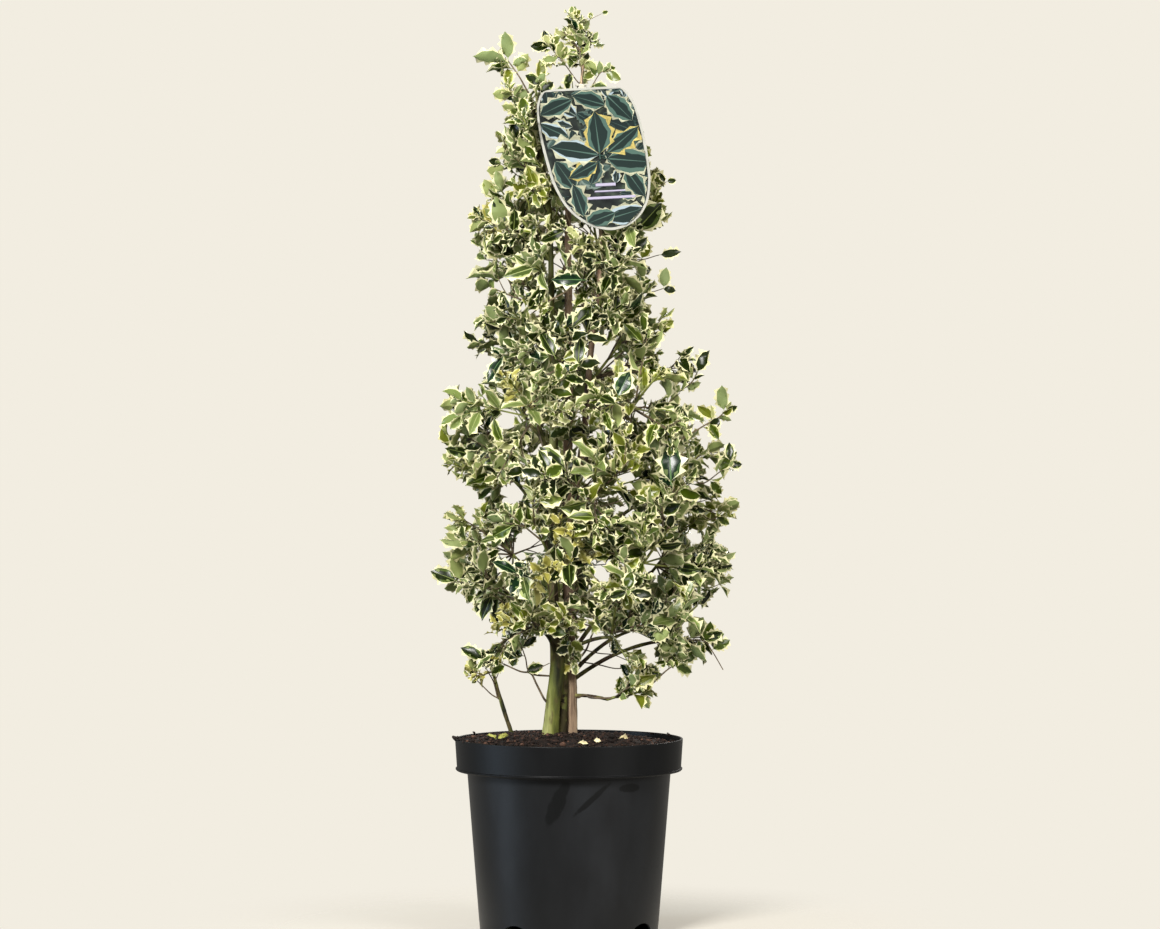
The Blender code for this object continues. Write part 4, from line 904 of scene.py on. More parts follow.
def plain(name, colour, roughness, shine):
    """A surface of one colour, given as it is seen."""
    inputs = {"Base Color": linear(colour), "Roughness": roughness, "Specular IOR Level": shine}
    return new_material(name, inputs)[0]


def add_place(tree):
    """The object's own coordinates."""
    return add_node(tree, "TexCoord", {}).outputs["Object"]


def add_noise(tree, place, scale, detail, stretch):
    """A noise texture over a place, stretched along each axis."""
    mapping = add_node(tree, "Mapping", {"Vector": place, "Scale": stretch})
    inputs = {"Vector": mapping.outputs["Vector"], "Scale": scale, "Detail": detail}
    return add_node(tree, "TexNoise", inputs).outputs["Fac"]


def add_oval(tree, place, inputs, **settings):
    """A value that falls from the middle of an oval to its edge."""
    mapping = add_node(tree, "Mapping", {"Vector": place, **inputs}, **settings)
    inputs = {"Vector": mapping.outputs["Vector"]}
    return add_node(tree, "TexGradient", inputs, gradient_type="SPHERICAL").outputs["Fac"]


def add_ramp(tree, value, stops):
    """A colour ramp over a value, from stops of place and colour as it is seen."""
    ramp = add_node(tree, "ValToRGB", {"Fac": value})
    elements = ramp.color_ramp.elements
    while len(elements) < len(stops):
        elements.new(0.5)
    for element, (place, colour) in zip(elements, stops):
        element.position = place
        element.color = linear(colour)
    return ramp.outputs["Color"]


def add_mask(tree, value, low, high):
    """A mask that is empty where the value is below low, and whole where it is above high."""
    return add_ramp(tree, value, [(low, (0, 0, 0)), (high, (255, 255, 255))])


def add_mix(tree, mask, colour, other):
    """The colour, with another colour, as it is seen, laid over it by a mask."""
    inputs = {"Factor": mask, "A": colour, "B": linear(other)}
    return add_node(tree, "Mix", inputs, data_type="RGBA").outputs["Result"]


def add_range(tree, value, low, high):
    """The value of a noise, spread from low to high."""
    least, greatest = NOISE_SPAN
    inputs = {"Value": value, "From Min": least, "From Max": greatest, "To Min": low, "To Max": high}
    return add_node(tree, "MapRange", inputs).outputs["Result"]


def grained(name, stops, scale, stretch=(1, 1, 1), rough=(0.5, 0.8), relief=(400, 0.3, 0.0005),
            flecks=None, shine=0.5):
    """A surface whose colour, roughness and fine relief follow noise.

    Relief is the fine noise's scale, its strength and its height. Flecks are a colour, the
    noise's scale and stretch, and the share of it that shows them.
    """
    material, tree, shader = new_material(name, {"Specular IOR Level": shine})
    place = add_place(tree)
    grain = add_noise(tree, place, scale, GRAIN_DETAIL, stretch)
    colour = add_ramp(tree, grain, stops)
    if flecks:
        shade, fleck_scale, fleck_stretch, share = flecks
        spots = add_noise(tree, place, fleck_scale, FLECK_DETAIL, fleck_stretch)
        mask = add_mask(tree, spots, 1 - share - FLECK_BLUR, 1 - share + FLECK_BLUR)
        colour = add_mix(tree, mask, colour, shade)
    fine_scale, strength, height = relief
    fine = add_noise(tree, place, fine_scale, FINE_DETAIL, stretch)
    bump = add_node(tree, "Bump", {"Height": fine, "Strength": strength, "Distance": height})
    set_inputs(tree, shader, {
        "Base Color": colour,
        "Roughness": add_range(tree, grain, *rough),
        "Normal": bump.outputs["Normal"],
    })
    return material


def leaf_roughness(tone, zone):
    """How rough one zone of a leaf is."""
    return GLOSSY_ROUGHNESS if tone == "glossy" else LEAF_ROUGHNESS[zone]


def leaf_materials():
    """One plain material for each zone of each tone, in the order of their numbers in a mesh."""
    return [
        plain(f"leaf_{tone}_{zone}", colour, leaf_roughness(tone, zone), LEAF_SHINE)
        for tone, colours in TONES.items()
        for zone, colour in zip(ZONES, colours)
    ]


def bark_materials():
    """The barks of the trunk, the stems and the boughs, which have flecks, and a near-black bark of painted
    shade for the flank's foot.
    """
    barks = {
        name: grained(name, list(zip(BARK_STOPS, colours)), *rows, flecks=flecks, shine=shine)
        for name, colours, rows, flecks, shine in BARKS
    }
    # Painted shade: a near-black bark for the flank's foot, where shadow falls between the trunk and the
    # second stem
    barks["painted_shade_bark"] = grained(
        "painted_shade_bark",
        [(0.34, (14, 11, 7)), (0.50, (30, 25, 14)), (0.66, (62, 58, 30))],
        60.0, (1, 1, 0.2), (0.7, 0.9), (800, 0.5, 0.0007), shine=0.15,
    )
    return barks


def twig_materials():
    """Green and brown young wood."""
    return [
        grained(name, [(0.35, dark), (0.65, pale)], 90.0, relief=(900, 0.2, 0.0003), shine=0.3)
        for name, dark, pale in (
            ("green_twig", (66, 72, 30), (122, 126, 64)),
            ("brown_twig", (52, 42, 30), (106, 92, 70)),
        )
    ]


def soil_materials():
    """Damp soil, brown crumbs and crumbs of bark."""
    return [
        grained(name, stops, scale, rough=(0.8, 1.0), relief=(900, 0.5, height), shine=0.2)
        for name, stops, scale, height in (
            ("damp_soil", [(0.35, (13, 9, 7)), (0.55, (28, 19, 15)), (0.7, (50, 35, 27))], 160.0, 0.0006),
            ("brown_crumb", [(0.35, (22, 15, 12)), (0.65, (50, 35, 28))], 300.0, 0.0004),
            ("bark_crumb", [(0.35, (40, 27, 22)), (0.65, (92, 66, 52))], 300.0, 0.0004),
        )
    ]


def label_materials():
    """The label's materials, in the order of their numbers in its mesh."""
    border = grained("label_border", [(0.3, (140, 140, 133)), (0.7, (152, 152, 144))], 80.0,
                     rough=(0.35, 0.45), relief=(300, 0.02, 0.0001), shine=0.3)
    ground = grained("label_ground", [(0.35, (12, 16, 16)), (0.55, (22, 28, 26)), (0.7, (52, 62, 50))],
                     60.0, rough=(0.3, 0.4), relief=(200, 0.02, 0.0001), shine=0.2)
    strap = grained("label_strap", [(0.3, (182, 178, 164)), (0.7, (198, 194, 180))], 120.0,
                    rough=(0.4, 0.5), relief=(300, 0.05, 0.0001), shine=0.3)
    inks = [plain(f"label_{name}", colour, *PRINT_GLOSS) for name, colour in LABEL_INKS.items()]
    return [border, ground, *inks[:3], strap, *inks[3:]]


# Pot and compost


def pot_profile():
    """The pot's section from the middle of its floor, up its inside, over its rim and down."""
    band_foot = POT_HEIGHT - POT_BAND_HEIGHT
    bead = POT_BAND_FOOT_RADIUS + POT_BEAD
    body = []
    for height in BODY_RINGS:
        share = height / band_foot
        body.append((POT_BASE_RADIUS + (POT_BODY_TOP_RADIUS - POT_BASE_RADIUS) * share, height, 0.0))
    corners = [
        (0.0, POT_FLOOR, 0.0),
        (POT_BASE_RADIUS - POT_WALL, POT_FLOOR, 0.002),
        (POT_BODY_TOP_RADIUS - POT_WALL, band_foot + POT_WALL, 0.001),
        (POT_BAND_FOOT_RADIUS - POT_WALL, band_foot + 2 * POT_BEAD + POT_WALL, 0.001),
        (POT_RIM_RADIUS - POT_WALL, POT_HEIGHT, 0.0013),
        (POT_RIM_RADIUS, POT_HEIGHT, 0.0013),
        (POT_BAND_FOOT_RADIUS, band_foot + 2 * POT_BEAD, 0.0010),
        (bead, band_foot + 2 * POT_BEAD - 0.0004, 0.0006),
        (bead, band_foot + POT_BEAD, 0.0007),
        (POT_BAND_FOOT_RADIUS, band_foot, 0.0008),
        (POT_BODY_TOP_RADIUS, band_foot, 0.0024),
        *body,
        (POT_BASE_RADIUS, POT_FOOT_CHAMFER, 0.0012),
        (POT_BASE_RADIUS - POT_FOOT_CHAMFER, 0.0, 0.0010),
        (0.0, 0.0, 0.0),
    ]
    return rounded(corners)


def add_notch(pot, azimuth):
    """Cuts one round-topped notch in the pot's foot, and gives the form that cuts it."""
    bpy.ops.mesh.primitive_cylinder_add(vertices=NOTCH_SIDES, radius=0.5, depth=2 * NOTCH_DEPTH)
    cutter = bpy.context.object
    turn = Matrix.Rotation(math.radians(azimuth), 4, "Z") @ Matrix.Rotation(math.pi / 2, 4, "Y")
    spread = Matrix.Diagonal((2 * NOTCH_HEIGHT, NOTCH_WIDTH, 1.0, 1.0))
    cutter.matrix_world = Matrix.Translation(POT_BASE_RADIUS * outward(azimuth)) @ turn @ spread
    notch = pot.modifiers.new("notch", "BOOLEAN")
    notch.operation = "DIFFERENCE"
    notch.object = cutter
    return cutter


def make_pot(materials):
    """The round pot with its band, bead and the notches at its foot."""
    profile = pot_profile()
    middle = profile[1:-1]
    turns = [2 * math.pi * i / POT_STEPS for i in range(POT_STEPS)]
    rings = [(p.x * math.cos(t), p.x * math.sin(t), p.y) for p in middle for t in turns]
    points = [(0.0, 0.0, profile[0].y), *rings, (0.0, 0.0, 0.0)]
    last = 1 + (len(middle) - 1) * POT_STEPS
    ends = fan(0, 1, POT_STEPS) + fan(len(points) - 1, last, POT_STEPS, flip=True)
    faces = np.concatenate([grid_faces(len(middle), POT_STEPS)[:, ::-1] + 1, ends])
    heights = np.array(points)[faces][:, :, 2].mean(axis=1)
    shape = Shape()
    shape.add(points, faces, (heights > POT_HEIGHT - POT_BAND_HEIGHT).astype(int))
    pot = shape.piece("pot_shell", materials, POT_CREASE)
    azimuths = [NOTCH_FIRST_AZIMUTH + 360.0 / NOTCH_COUNT * i for i in range(NOTCH_COUNT)]
    cutters = [add_notch(pot, azimuth) for azimuth in azimuths]
    pot = baked(pot, "pot_shell")
    pot.data.set_sharp_from_angle(angle=math.radians(POT_CREASE))
    for cutter in cutters:
        bpy.data.objects.remove(cutter)
    return pot


def add_blot(tree, place, centre, lean, size):
    """A soft-edged mask over the pot's side: an oval that leans in degrees, warped by noise."""
    inputs = {"Location": centre, "Rotation": (0.0, math.radians(lean), 0.0), "Scale": size}
    oval = add_oval(tree, place, inputs, vector_type="TEXTURE")
    specks = add_noise(tree, place, *SMEAR_NOISE)
    warp = add_node(tree, "Math", {0: oval, 1: specks}, operation="MULTIPLY")
    return add_mask(tree, warp.outputs[0], *SMEAR_EDGE)


def pot_materials():
    """Near-black plastic, streaked, with dark damp smears, and the band's darker plastic."""
    relief = (900, 0.06, 0.0004)
    side = grained(
        "scuffed_plastic",
        [(0.30, (9, 10, 11)), (0.52, (14, 15, 17)), (0.72, (24, 26, 29))],
        9.0, (1, 1, 0.45), (0.32, 0.50), relief, shine=0.19,
    )
    band = grained(
        "band_plastic",
        [(0.30, (4, 4, 5)), (0.52, (7, 8, 9)), (0.72, (13, 14, 16))],
        12.0, (1, 1, 0.35), (0.34, 0.52), relief, shine=0.12,
    )
    tree = side.node_tree
    place = add_place(tree)
    base = tree.nodes["Principled BSDF"].inputs["Base Color"]
    for centre, lean, size in SMEARS:
        mask = add_blot(tree, place, centre, lean, size)
        tree.links.new(add_mix(tree, mask, base.links[0].from_socket, SMEAR_COLOUR), base)
    return [side, band]


def compost_height(x, y):
    """The height of the compost's top: mounded round the stems and heaped to the left front."""
    share = min(1.0, math.hypot(x, y) / POT_RIM_RADIUS)
    high = outward(COMPOST_HIGH_SIDE)
    tilt = COMPOST_TILT * (x * high.x + y * high.y) / POT_RIM_RADIUS
    return COMPOST_EDGE + (COMPOST_CROWN - COMPOST_EDGE) * (1 - share * share) + tilt


def compost_radius():
    """The radius of the compost's top, where it meets the pot's inner wall."""
    return POT_RIM_RADIUS - POT_WALL - COMPOST_PLAY


def crumb_points():
    """The points and faces of one unit crumb, which is a rough ball of twenty faces."""
    bpy.ops.mesh.primitive_ico_sphere_add(subdivisions=1, radius=1.0)
    ball = bpy.context.object
    points = np.array([v.co for v in ball.data.vertices])
    faces = np.array([tuple(f.vertices) for f in ball.data.polygons])
    bpy.data.objects.remove(ball)
    return points, faces


def add_crumb(shape, form, rng, place, size, slot):
    """Adds one lump of compost, turned and squashed at random."""
    ball, faces = form
    spread = np.array([rng.uniform(0.6, 1.5), rng.uniform(0.6, 1.2), rng.uniform(0.4, 0.8)])
    lean = Matrix.Rotation(rng.uniform(-0.5, 0.5), 3, "X")
    turned = np.array(Matrix.Rotation(rng.uniform(0, 2 * math.pi), 3, "Z") @ lean)
    jitter = 1 + np.array([[rng.uniform(-0.25, 0.25)] for _ in ball])
    shape.add((ball * jitter * spread * size) @ turned.T + np.array(place), faces, slot)


def crumbly_height(x, y):
    """The height of the compost's top with its lumps, crumbs and fine grain."""
    lumps = noise.noise(Vector((x * 60, y * 60, 0.0))) * 0.0022
    crumbs = abs(noise.noise(Vector((x * 210, y * 210, 3.0)))) * 0.0030
    fine = noise.noise(Vector((x * 520, y * 520, 7.0))) * 0.0010
    return compost_height(x, y) + lumps + crumbs + fine - COMPOST_SINK


def make_compost(materials):
    """The compost's crumbly top, with loose crumbs, bits of bark, and clods on the pot's rim."""
    rim = compost_radius()
    points = []
    for ring in range(COMPOST_RINGS):
        radius = rim * ((ring + 1) / COMPOST_RINGS) ** 0.9
        for i in range(COMPOST_SECTORS):
            turn = 2 * math.pi * i / COMPOST_SECTORS
            x, y = radius * math.cos(turn), radius * math.sin(turn)
            points.append((x, y, crumbly_height(x, y)))
    centre = (0.0, 0.0, compost_height(0.0, 0.0))
    skirt = [(x, y, POT_HEIGHT - COMPOST_SKIRT) for x, y, _ in points[-COMPOST_SECTORS:]]
    faces = grid_faces(COMPOST_RINGS + 1, COMPOST_SECTORS)[:, ::-1] + 1
    shape = Shape()
    shape.add([centre, *points, *skirt], np.concatenate([faces, fan(0, 1, COMPOST_SECTORS)]))
    rng = random.Random(f"{SEED}-crumbs")
    form = crumb_points()
    for _ in range(CRUMB_COUNT):
        radius, turn = rim * math.sqrt(rng.random()) * 0.985, rng.uniform(0, 2 * math.pi)
        x, y = radius * math.cos(turn), radius * math.sin(turn)
        size = rng.uniform(*CRUMB_SIZES) * (BIG_CRUMB if rng.random() < BIG_CRUMB_SHARE else 1.0)
        place = (x, y, compost_height(x, y) + CRUMB_LIFT + size * 0.3)
        add_crumb(shape, form, rng, place, size, rng.choice(CRUMB_SLOTS))
    for azimuth, radius in CLODS:
        size = rng.uniform(*CLOD_SIZES)
        place = outward(azimuth) * radius + UP * (POT_HEIGHT + 0.1 * size)
        for _ in range(CLOD_LUMPS):
            aside = Vector([rng.uniform(-0.6, 0.6) * size for _ in range(3)])
            add_crumb(shape, form, rng, place + aside, size * 0.6, 0)
    return shape.piece("compost_top", materials, COMPOST_CREASE)


# Limbs


def limb_lines():
    """The upright limbs and the basal shoot, as name to points and radii."""
    lines = {}
    for name, stations in LIMBS.items():
        points, radii = catmull_rom(stations, LIMB_SAMPLES)
        if name == "trunk":
            foot = points[0].z + FLARE_FOOT
            radii = [
                radius + ROOT_FLARE * math.exp(-(point.z - foot) / FLARE_HEIGHT)
                for point, radius in zip(points, radii)
            ]
        lines[name] = (points, radii)
    return lines


def point_at(line, height):
    """The place on a limb at this height."""
    points = line[0]
    for a, b in zip(points, points[1:]):
        if a.z <= height <= b.z:
            return a.lerp(b, (height - a.z) / (b.z - a.z))
    return points[0] if height < points[0].z else points[-1]


def limb_for(lines, direction, height):
    """The name of the upright limb that stands furthest out in this direction."""
    standing = [
        name for name in ("trunk", "second_stem", "right_leader")
        if lines[name][0][0].z + 0.02 < height < lines[name][0][-1].z - 0.01
    ]
    return max(standing, key=lambda name: point_at(lines[name], height).dot(direction))


def smooth_bark(point, _):
    """Relief of young bark: soft swellings, shallow vertical ripples and a fine pimpled grain."""
    soft = noise.noise(point * 55.0) * 0.00045
    ripples = noise.noise(Vector((point.x * 420, point.y * 420, point.z * 45))) * 0.00022
    pimples = max(0.0, noise.noise(point * 900.0) - 0.25) * 0.0004
    return soft + ripples + pimples


def rough_bark(point, _):
    """Relief of older bark: narrow fissures that run up the stem between flat ridges."""
    soft = noise.noise(point * 60.0) * 0.0004
    ridges = noise.noise(Vector((point.x * 520, point.y * 520, point.z * 38)))
    fissures = -0.0007 * max(0.0, 0.28 - abs(ridges)) / 0.28
    return soft + fissures + noise.noise(point * 800.0) * 0.00016


def flared_bark(point, turn):
    """Smooth bark that spreads into low root ridges at the compost."""
    height = point.z - LIMBS["trunk"][0][2]
    ridge = math.cos(ROOT_RIDGES * turn + ROOT_TURN)
    return smooth_bark(point, turn) + ROOT_RIDGE * ridge * math.exp(-height / ROOT_HEIGHT)


def make_limbs(lines, barks):
    """A relief mesh for each upright limb and for the basal shoot. The flank is the trunk's."""
    reliefs = {"trunk": flared_bark, "basal_shoot": smooth_bark, "flank": smooth_bark}
    shapes = {}
    for name, (points, radii) in lines.items():
        shape = shapes.setdefault("trunk" if name == "flank" else name, Shape())
        before = shape.count
        tube(shape, points, radii, LIMB_SIDES[name], 0, reliefs.get(name, rough_bark))
        # The flank's faces below a noisy height take the second material, which is painted shade
        if name == "flank":
            centres = shape.points[-1][shape.faces[-1] - before].mean(axis=1)
            swings = [noise.noise(Vector(c) * SHADE_NOISE) for c in centres]
            edges = [SHADED_HEIGHT + SHADE_SWING * swing for swing in swings]
            shape.slots[-1] = (centres[:, 2] < edges).astype(int)
    for name, shape in shapes.items():
        green = name in reliefs
        materials = [barks["green_bark"], barks["painted_shade_bark"]] if green else [barks["brown_bark"]]
        piece = shape.piece(f"{name}_bark", materials, WOOD_CREASE)
        settle(piece, [name])


# The growth rule


def plan_tiers(lines):
    """The masses of the tiers: name, cell centre, stem ends, and the limb that holds each."""
    masses = []
    for tier, (height, count, first, share) in enumerate(TIERS, start=1):
        rng = random.Random(f"{SEED}-tier-{tier}")
        for i in range(count):
            azimuth = first + 360.0 / count * i + rng.uniform(-AZIMUTH_SPREAD, AZIMUTH_SPREAD)
            centre_height = height + rng.uniform(-HEIGHT_SPREAD, HEIGHT_SPREAD)
            direction = outward(azimuth)
            axis, reach = crown_axis(centre_height), crown_reach(centre_height)
            limb = f"bough_{tier}_{i + 1}"
            if share is None:
                start_height = centre_height - DIRECT_RISE
                limb = limb_for(lines, direction, start_height)
                root = point_at(lines[limb], start_height)
            else:
                root = axis + direction * reach * share - UP * BOUGH_SAG * reach
            masses.append({
                "name": f"foliage_{tier}_{i + 1}",
                "piece": tier,
                "centre": axis + direction * reach * CENTRE_SHARE,
                "root": root,
                "tip": axis + direction * reach * TIP_SHARE + UP * TIP_RISE * reach,
                "limb": limb,
                "azimuth": azimuth,
                "start": max(LOWEST_BOUGH + BOUGH_STEP * i, root.z - BOUGH_RISE * reach),
                "reach": reach,
                "radius": None,
                "size": 1.0,
            })
    return masses


def plan_lone_masses(lines):
    """The masses that stand apart: the top, the left spire, the basal tuft and the low spray."""
    masses = []
    for name, limb, centre, tip, radius, size in LONE_MASSES:
        root = lines[limb][0][-1] if limb in lines else Vector(LOW_RIGHT_ROOT)
        masses.append({
            "name": name, "piece": len(TIERS) if centre[2] > 1.0 else 1,
            "centre": Vector(centre), "root": root, "tip": Vector(tip),
            "limb": limb, "reach": radius, "radius": radius, "size": size,
        })
    return masses


def bough_path(mass, lines):
    """The line of a bough from the middle of its upright limb to its mass of foliage."""
    root = mass["root"]
    if mass["limb"] == "bough_low_right":
        start = point_at(lines["second_stem"], root.z + 0.003)
        bend = start.lerp(root, 0.5) + UP * 0.004
    else:
        direction = outward(mass["azimuth"])
        start = point_at(lines[limb_for(lines, direction, mass["start"])], mass["start"])
        bend = start.lerp(root, 0.55) + UP * 0.12 * (root - start).length - direction * 0.01
    return bezier(start, bend, root, BOUGH_POINTS)


def label_frame():
    """The matrix of the label: X across it, Y up it from its top edge, Z out of its face."""
    tilt = Matrix.Rotation(math.radians(LABEL_TILT), 4, "Y")
    stand = Matrix.Rotation(math.radians(90.0 - LABEL_LEAN), 4, "X")
    return Matrix.Translation(LABEL_TOP) @ tilt.inverted() @ stand


LABEL_INVERSE = label_frame().inverted()


def label_point(across, down):
    """A point of the label in its own frame, from shares of its half width and its length."""
    return LABEL_WIDTH / 2 * across + LABEL_SKEW * LABEL_LENGTH * down, -LABEL_LENGTH * down


def clear_of_label(point):
    """Whether a point is behind the label, or beside it."""
    x, y, z = LABEL_INVERSE @ point
    down, across = between(LABEL_OUTLINE, min(max(-y / LABEL_LENGTH, 0.0), 1.0))
    beside = abs(x - label_point(0.0, down)[0]) > label_point(across, 0.0)[0] + LABEL_ROOM
    return beside or y > LABEL_ROOM or y < -LABEL_LENGTH - LABEL_ROOM or z < -LABEL_ROOM


def in_cell(point, index, centres):
    """Whether a point is nearer to its own centre than to any other."""
    own = (point - centres[index]).length
    return all((point - centre).length >= own for centre in centres)


def in_gap(point):
    """Whether a point lies where the crown is open from front to back, as the camera sees it."""
    across, distance, height = CAMERA_PLACE
    scale = -distance / (point.y - distance)
    x, z = across + (point.x - across) * scale, height + (point.z - height) * scale
    return any((x - a) ** 2 + (z - b) ** 2 < radius ** 2 for a, b, radius in GAPS)


def in_crown(point, mass, overreach):
    """Whether a point is within the crown's outline, or near a mass that stands apart."""
    if point.z < LOWEST_LEAF or not clear_of_label(point):
        return False
    if mass["radius"] is not None:
        return (point - mass["centre"]).length < mass["radius"] + overreach
    if point.z < between(UNDERSIDE, point.x)[1] or point.z > CROWN[-1][0] or in_gap(point):
        return False
    return (point - crown_axis(point.z)).xy.length <= crown_reach(point.z) + overreach


def branch_point(stem, end):
    """The furthest place along the stem from which the way to end makes a natural angle."""
    widest = math.radians(BRANCH_ANGLE)
    found = stem[1]
    for a, b in zip(stem[1:], stem[2:]):
        if (end - a).angle(b - a) < widest:
            found = a
    return found


def grow_stem(mass):
    """Adds the mass's stem and its own seeded numbers to its entry."""
    rng = random.Random(f"{SEED}-{mass['name']}")
    root, tip = mass["root"], mass["tip"]
    length = (tip - root).length
    bend = root.lerp(tip, 0.5) + UP * 0.06 * length + outward(rng.uniform(0, 360)) * 0.04 * length
    mass["stem"] = bezier(root, bend, tip, STEM_POINTS)
    mass["rng"] = rng


def grow_twigs(mass, index, centres):
    """Paths of the mass's twigs, each to a seeded point of its own cell that is still free."""
    stem, rng, lone = mass["stem"], mass["rng"], mass["radius"] is not None
    spread = mass["reach"] if lone else CELL_SPREAD
    inset = (LONE_INSET_SHARE if lone else TWIG_INSET_SHARE) * mass["reach"]
    spacing = LONE_SPACING if lone else TWIG_SPACING
    ends, twigs = [stem[-1]], []
    for _ in range(TWIG_TRIES):
        end = mass["centre"] + random_step(rng, 1) * spread
        if len(twigs) == LONE_TWIGS.get(mass["name"], TWIGS_PER_MASS):
            break
        inner = 0.0 if lone else INNER_SHARE * crown_reach(end.z)
        if (end - crown_axis(end.z)).xy.length < inner:
            continue
        if min((end - other).length for other in ends) < spacing:
            continue
        if not in_crown(end, mass, -inset) or not in_cell(end, index, centres):
            continue
        start = branch_point(stem, end)
        length = (end - start).length
        bend = start.lerp(end, 0.5) + (end - stem[0]).normalized() * TWIG_BEND * length
        bend += random_step(rng, 1) * TWIG_WANDER * length
        twig = bezier(start, bend, end, TWIG_POINTS)
        if not lone and any(in_gap(point) for point in twig[1:]):
            continue
        ends.append(end)
        twigs.append(twig)
    return twigs


def grow_twiglets(mass, twig):
    """Paths of the short side shoots of one twig, turned about it by the golden angle."""
    rng = mass["rng"]
    along = (twig[-1] - twig[0]).normalized()
    across = along.orthogonal().normalized()
    turn = rng.uniform(0, 2 * math.pi)
    found = []
    for i in range(TWIGLETS_PER_TWIG):
        start = spot_on(twig, rng.uniform(*TWIGLET_SHARES))
        for attempt in range(TWIGLET_TRIES):
            side = Matrix.Rotation(turn + GOLDEN_ANGLE * (i + attempt), 3, along) @ across
            direction = (along + side * TWIGLET_LEAN + UP * TWIGLET_LIFT).normalized()
            end = start + direction * rng.uniform(*TWIGLET_LENGTHS) * mass["size"]
            if in_crown(end, mass, -TWIGLET_INSET):
                bend = start.lerp(end, 0.5) + along * TWIGLET_BEND
                found.append(bezier(start, bend, end, TWIGLET_POINTS))
                break
    return found


# Leaves


def blade_row(row, rows, style, form, rng):
    """One row of points across a blade: its top from edge to edge, then three under it."""
    half, spine, fold, wave, middle, margin, phase = form
    pointed = row % 2 == 1
    along = 0.07 + 0.85 * row / (rows - 1)
    width = half * math.sin(math.pi * along ** 0.92) ** 0.72
    top, under = [], []
    for side in (1, -1):
        edge = width + (spine if pointed else max(-0.6 * spine, -0.5 * width))
        inner = min(width * margin * rng.uniform(0.93, 1.04), 0.9 * edge)
        core = min(width * middle * rng.uniform(0.72, 1.15), 0.9 * inner)
        ripple = wave * math.sin(math.pi / 2 * (row + (phase if side > 0 else 0)))
        reach = [(edge, 1.0), (inner, 0.45), (core, 0.1), (MIDRIB * (1.1 - along), 0.0)]
        half_row = [(along, side * y, y * fold + lift * ripple) for y, lift in reach[:len(style)]]
        half_row[0] = (along + (0.6 * spine if pointed else 0.0), *half_row[0][1:])
        under.append((along, side * inner, inner * fold + 0.45 * ripple - BLADE_EDGE))
        if side > 0:
            top += half_row if "midrib" in style else [*half_row, (along, 0.0, 0.0)]
        else:
            top += half_row[::-1]
    return [*top, under[0], (along, 0.0, -BLADE_MIDDLE), under[1]]


def blade_faces(rows, style):
    """The triangles over a blade's top and back, with the zone of each."""
    ribbed = "midrib" in style
    top_count = 2 * len(style) + (0 if ribbed else 1)
    row_count = top_count + 3
    last = 1 + rows * row_count
    top_zones = [*style, *style[-2::-1]] if ribbed else [*style, *style[::-1]]
    back = (0, top_count, top_count + 1, top_count + 2, top_count - 1)
    back_zones = ("edge", "back", "back", "edge")
    faces, zones = [], []

    def cell(row, column):
        return 1 + row * row_count + column

    for columns, kinds, flip in ((range(top_count), top_zones, False), (back, back_zones, True)):
        for a, b, kind in zip(columns, columns[1:], kinds):
            strip = [(0, cell(0, b), cell(0, a)), (last, cell(rows - 1, a), cell(rows - 1, b))]
            for row in range(rows - 1):
                p, q, r, s = cell(row, a), cell(row, b), cell(row + 1, b), cell(row + 1, a)
                strip += [(p, q, r), (p, r, s)]
            faces += [face[::-1] for face in strip] if flip else strip
            zones += [ZONES.index(kind)] * len(strip)
    return faces, zones


def leaf_kind(number, style, margins=LEAF_MARGINS):
    """A leaf of unit length along X: its points, its triangles and the zone of each triangle.

    The spines stand up and down by turns. The blade is folded along its middle, twisted, and bent
    down to its tip, and it stands on a three-sided stalk.
    """
    rng = random.Random(f"{SEED}-leaf-{number}")
    rows = 2 * rng.choice((3, 3, 3, 4)) + 1
    half, spine = rng.uniform(*LEAF_WIDTHS) / 2, rng.uniform(*LEAF_SPINES)
    fold = math.tan(math.radians(rng.uniform(*LEAF_FOLDS)))
    bend, wave, twist = [rng.uniform(*span) for span in (LEAF_BENDS, LEAF_WAVES, LEAF_TWISTS)]
    middle, margin = rng.uniform(*LEAF_MIDDLES), rng.uniform(*margins)
    form = (half, spine, fold, wave, middle, margin, rng.choice((0, 2)))
    points = [(0.0, 0.0, 0.0)]
    for row in range(rows):
        points += blade_row(row, rows, style, form, rng)
    points = np.array([*points, (1.0, 0.0, 0.0)])
    faces, zones = blade_faces(rows, style)
    turn = twist * points[:, 0]
    y, z = points[:, 1].copy(), points[:, 2].copy()
    points[:, 1] = y * np.cos(turn) - z * np.sin(turn)
    points[:, 2] = y * np.sin(turn) + z * np.cos(turn) - bend * points[:, 0] ** 2
    points[:, 0] += PETIOLE
    stalk = [(x, MIDRIB * math.cos(t), MIDRIB * math.sin(t) - 0.006)
             for x in (-0.02, PETIOLE + 0.03) for t in (0.0, 2.094, 4.189)]
    count = len(points)
    for i in range(3):
        a, b = count + i, count + (i + 1) % 3
        faces += [(a, b, b + 3), (a, b + 3, a + 3)]
        zones += [ZONES.index("midrib")] * 2
    return np.concatenate([points, stalk]), np.array(faces), np.array(zones)


def leaf_kinds():
    """The forms of small leaves, which are plain, and of large ones, which show their midrib."""
    small = [leaf_kind(number, LEAF_STYLES[number % 2]) for number in range(LEAF_KINDS)]
    fine = [leaf_kind(LEAF_KINDS + number, LEAF_STYLES[2]) for number in range(FINE_KINDS)]
    return small, fine


def leaf_frame(base, direction, normal, size, breadth=1.0):
    """The matrix that sets a leaf of unit length with its root at base."""
    along = direction.normalized()
    side = normal.cross(along).normalized()
    turn = Matrix((along, side, along.cross(side))).transposed().to_4x4()
    return Matrix.Translation(base) @ turn @ Matrix.Diagonal((size, size * breadth, size, 1.0))


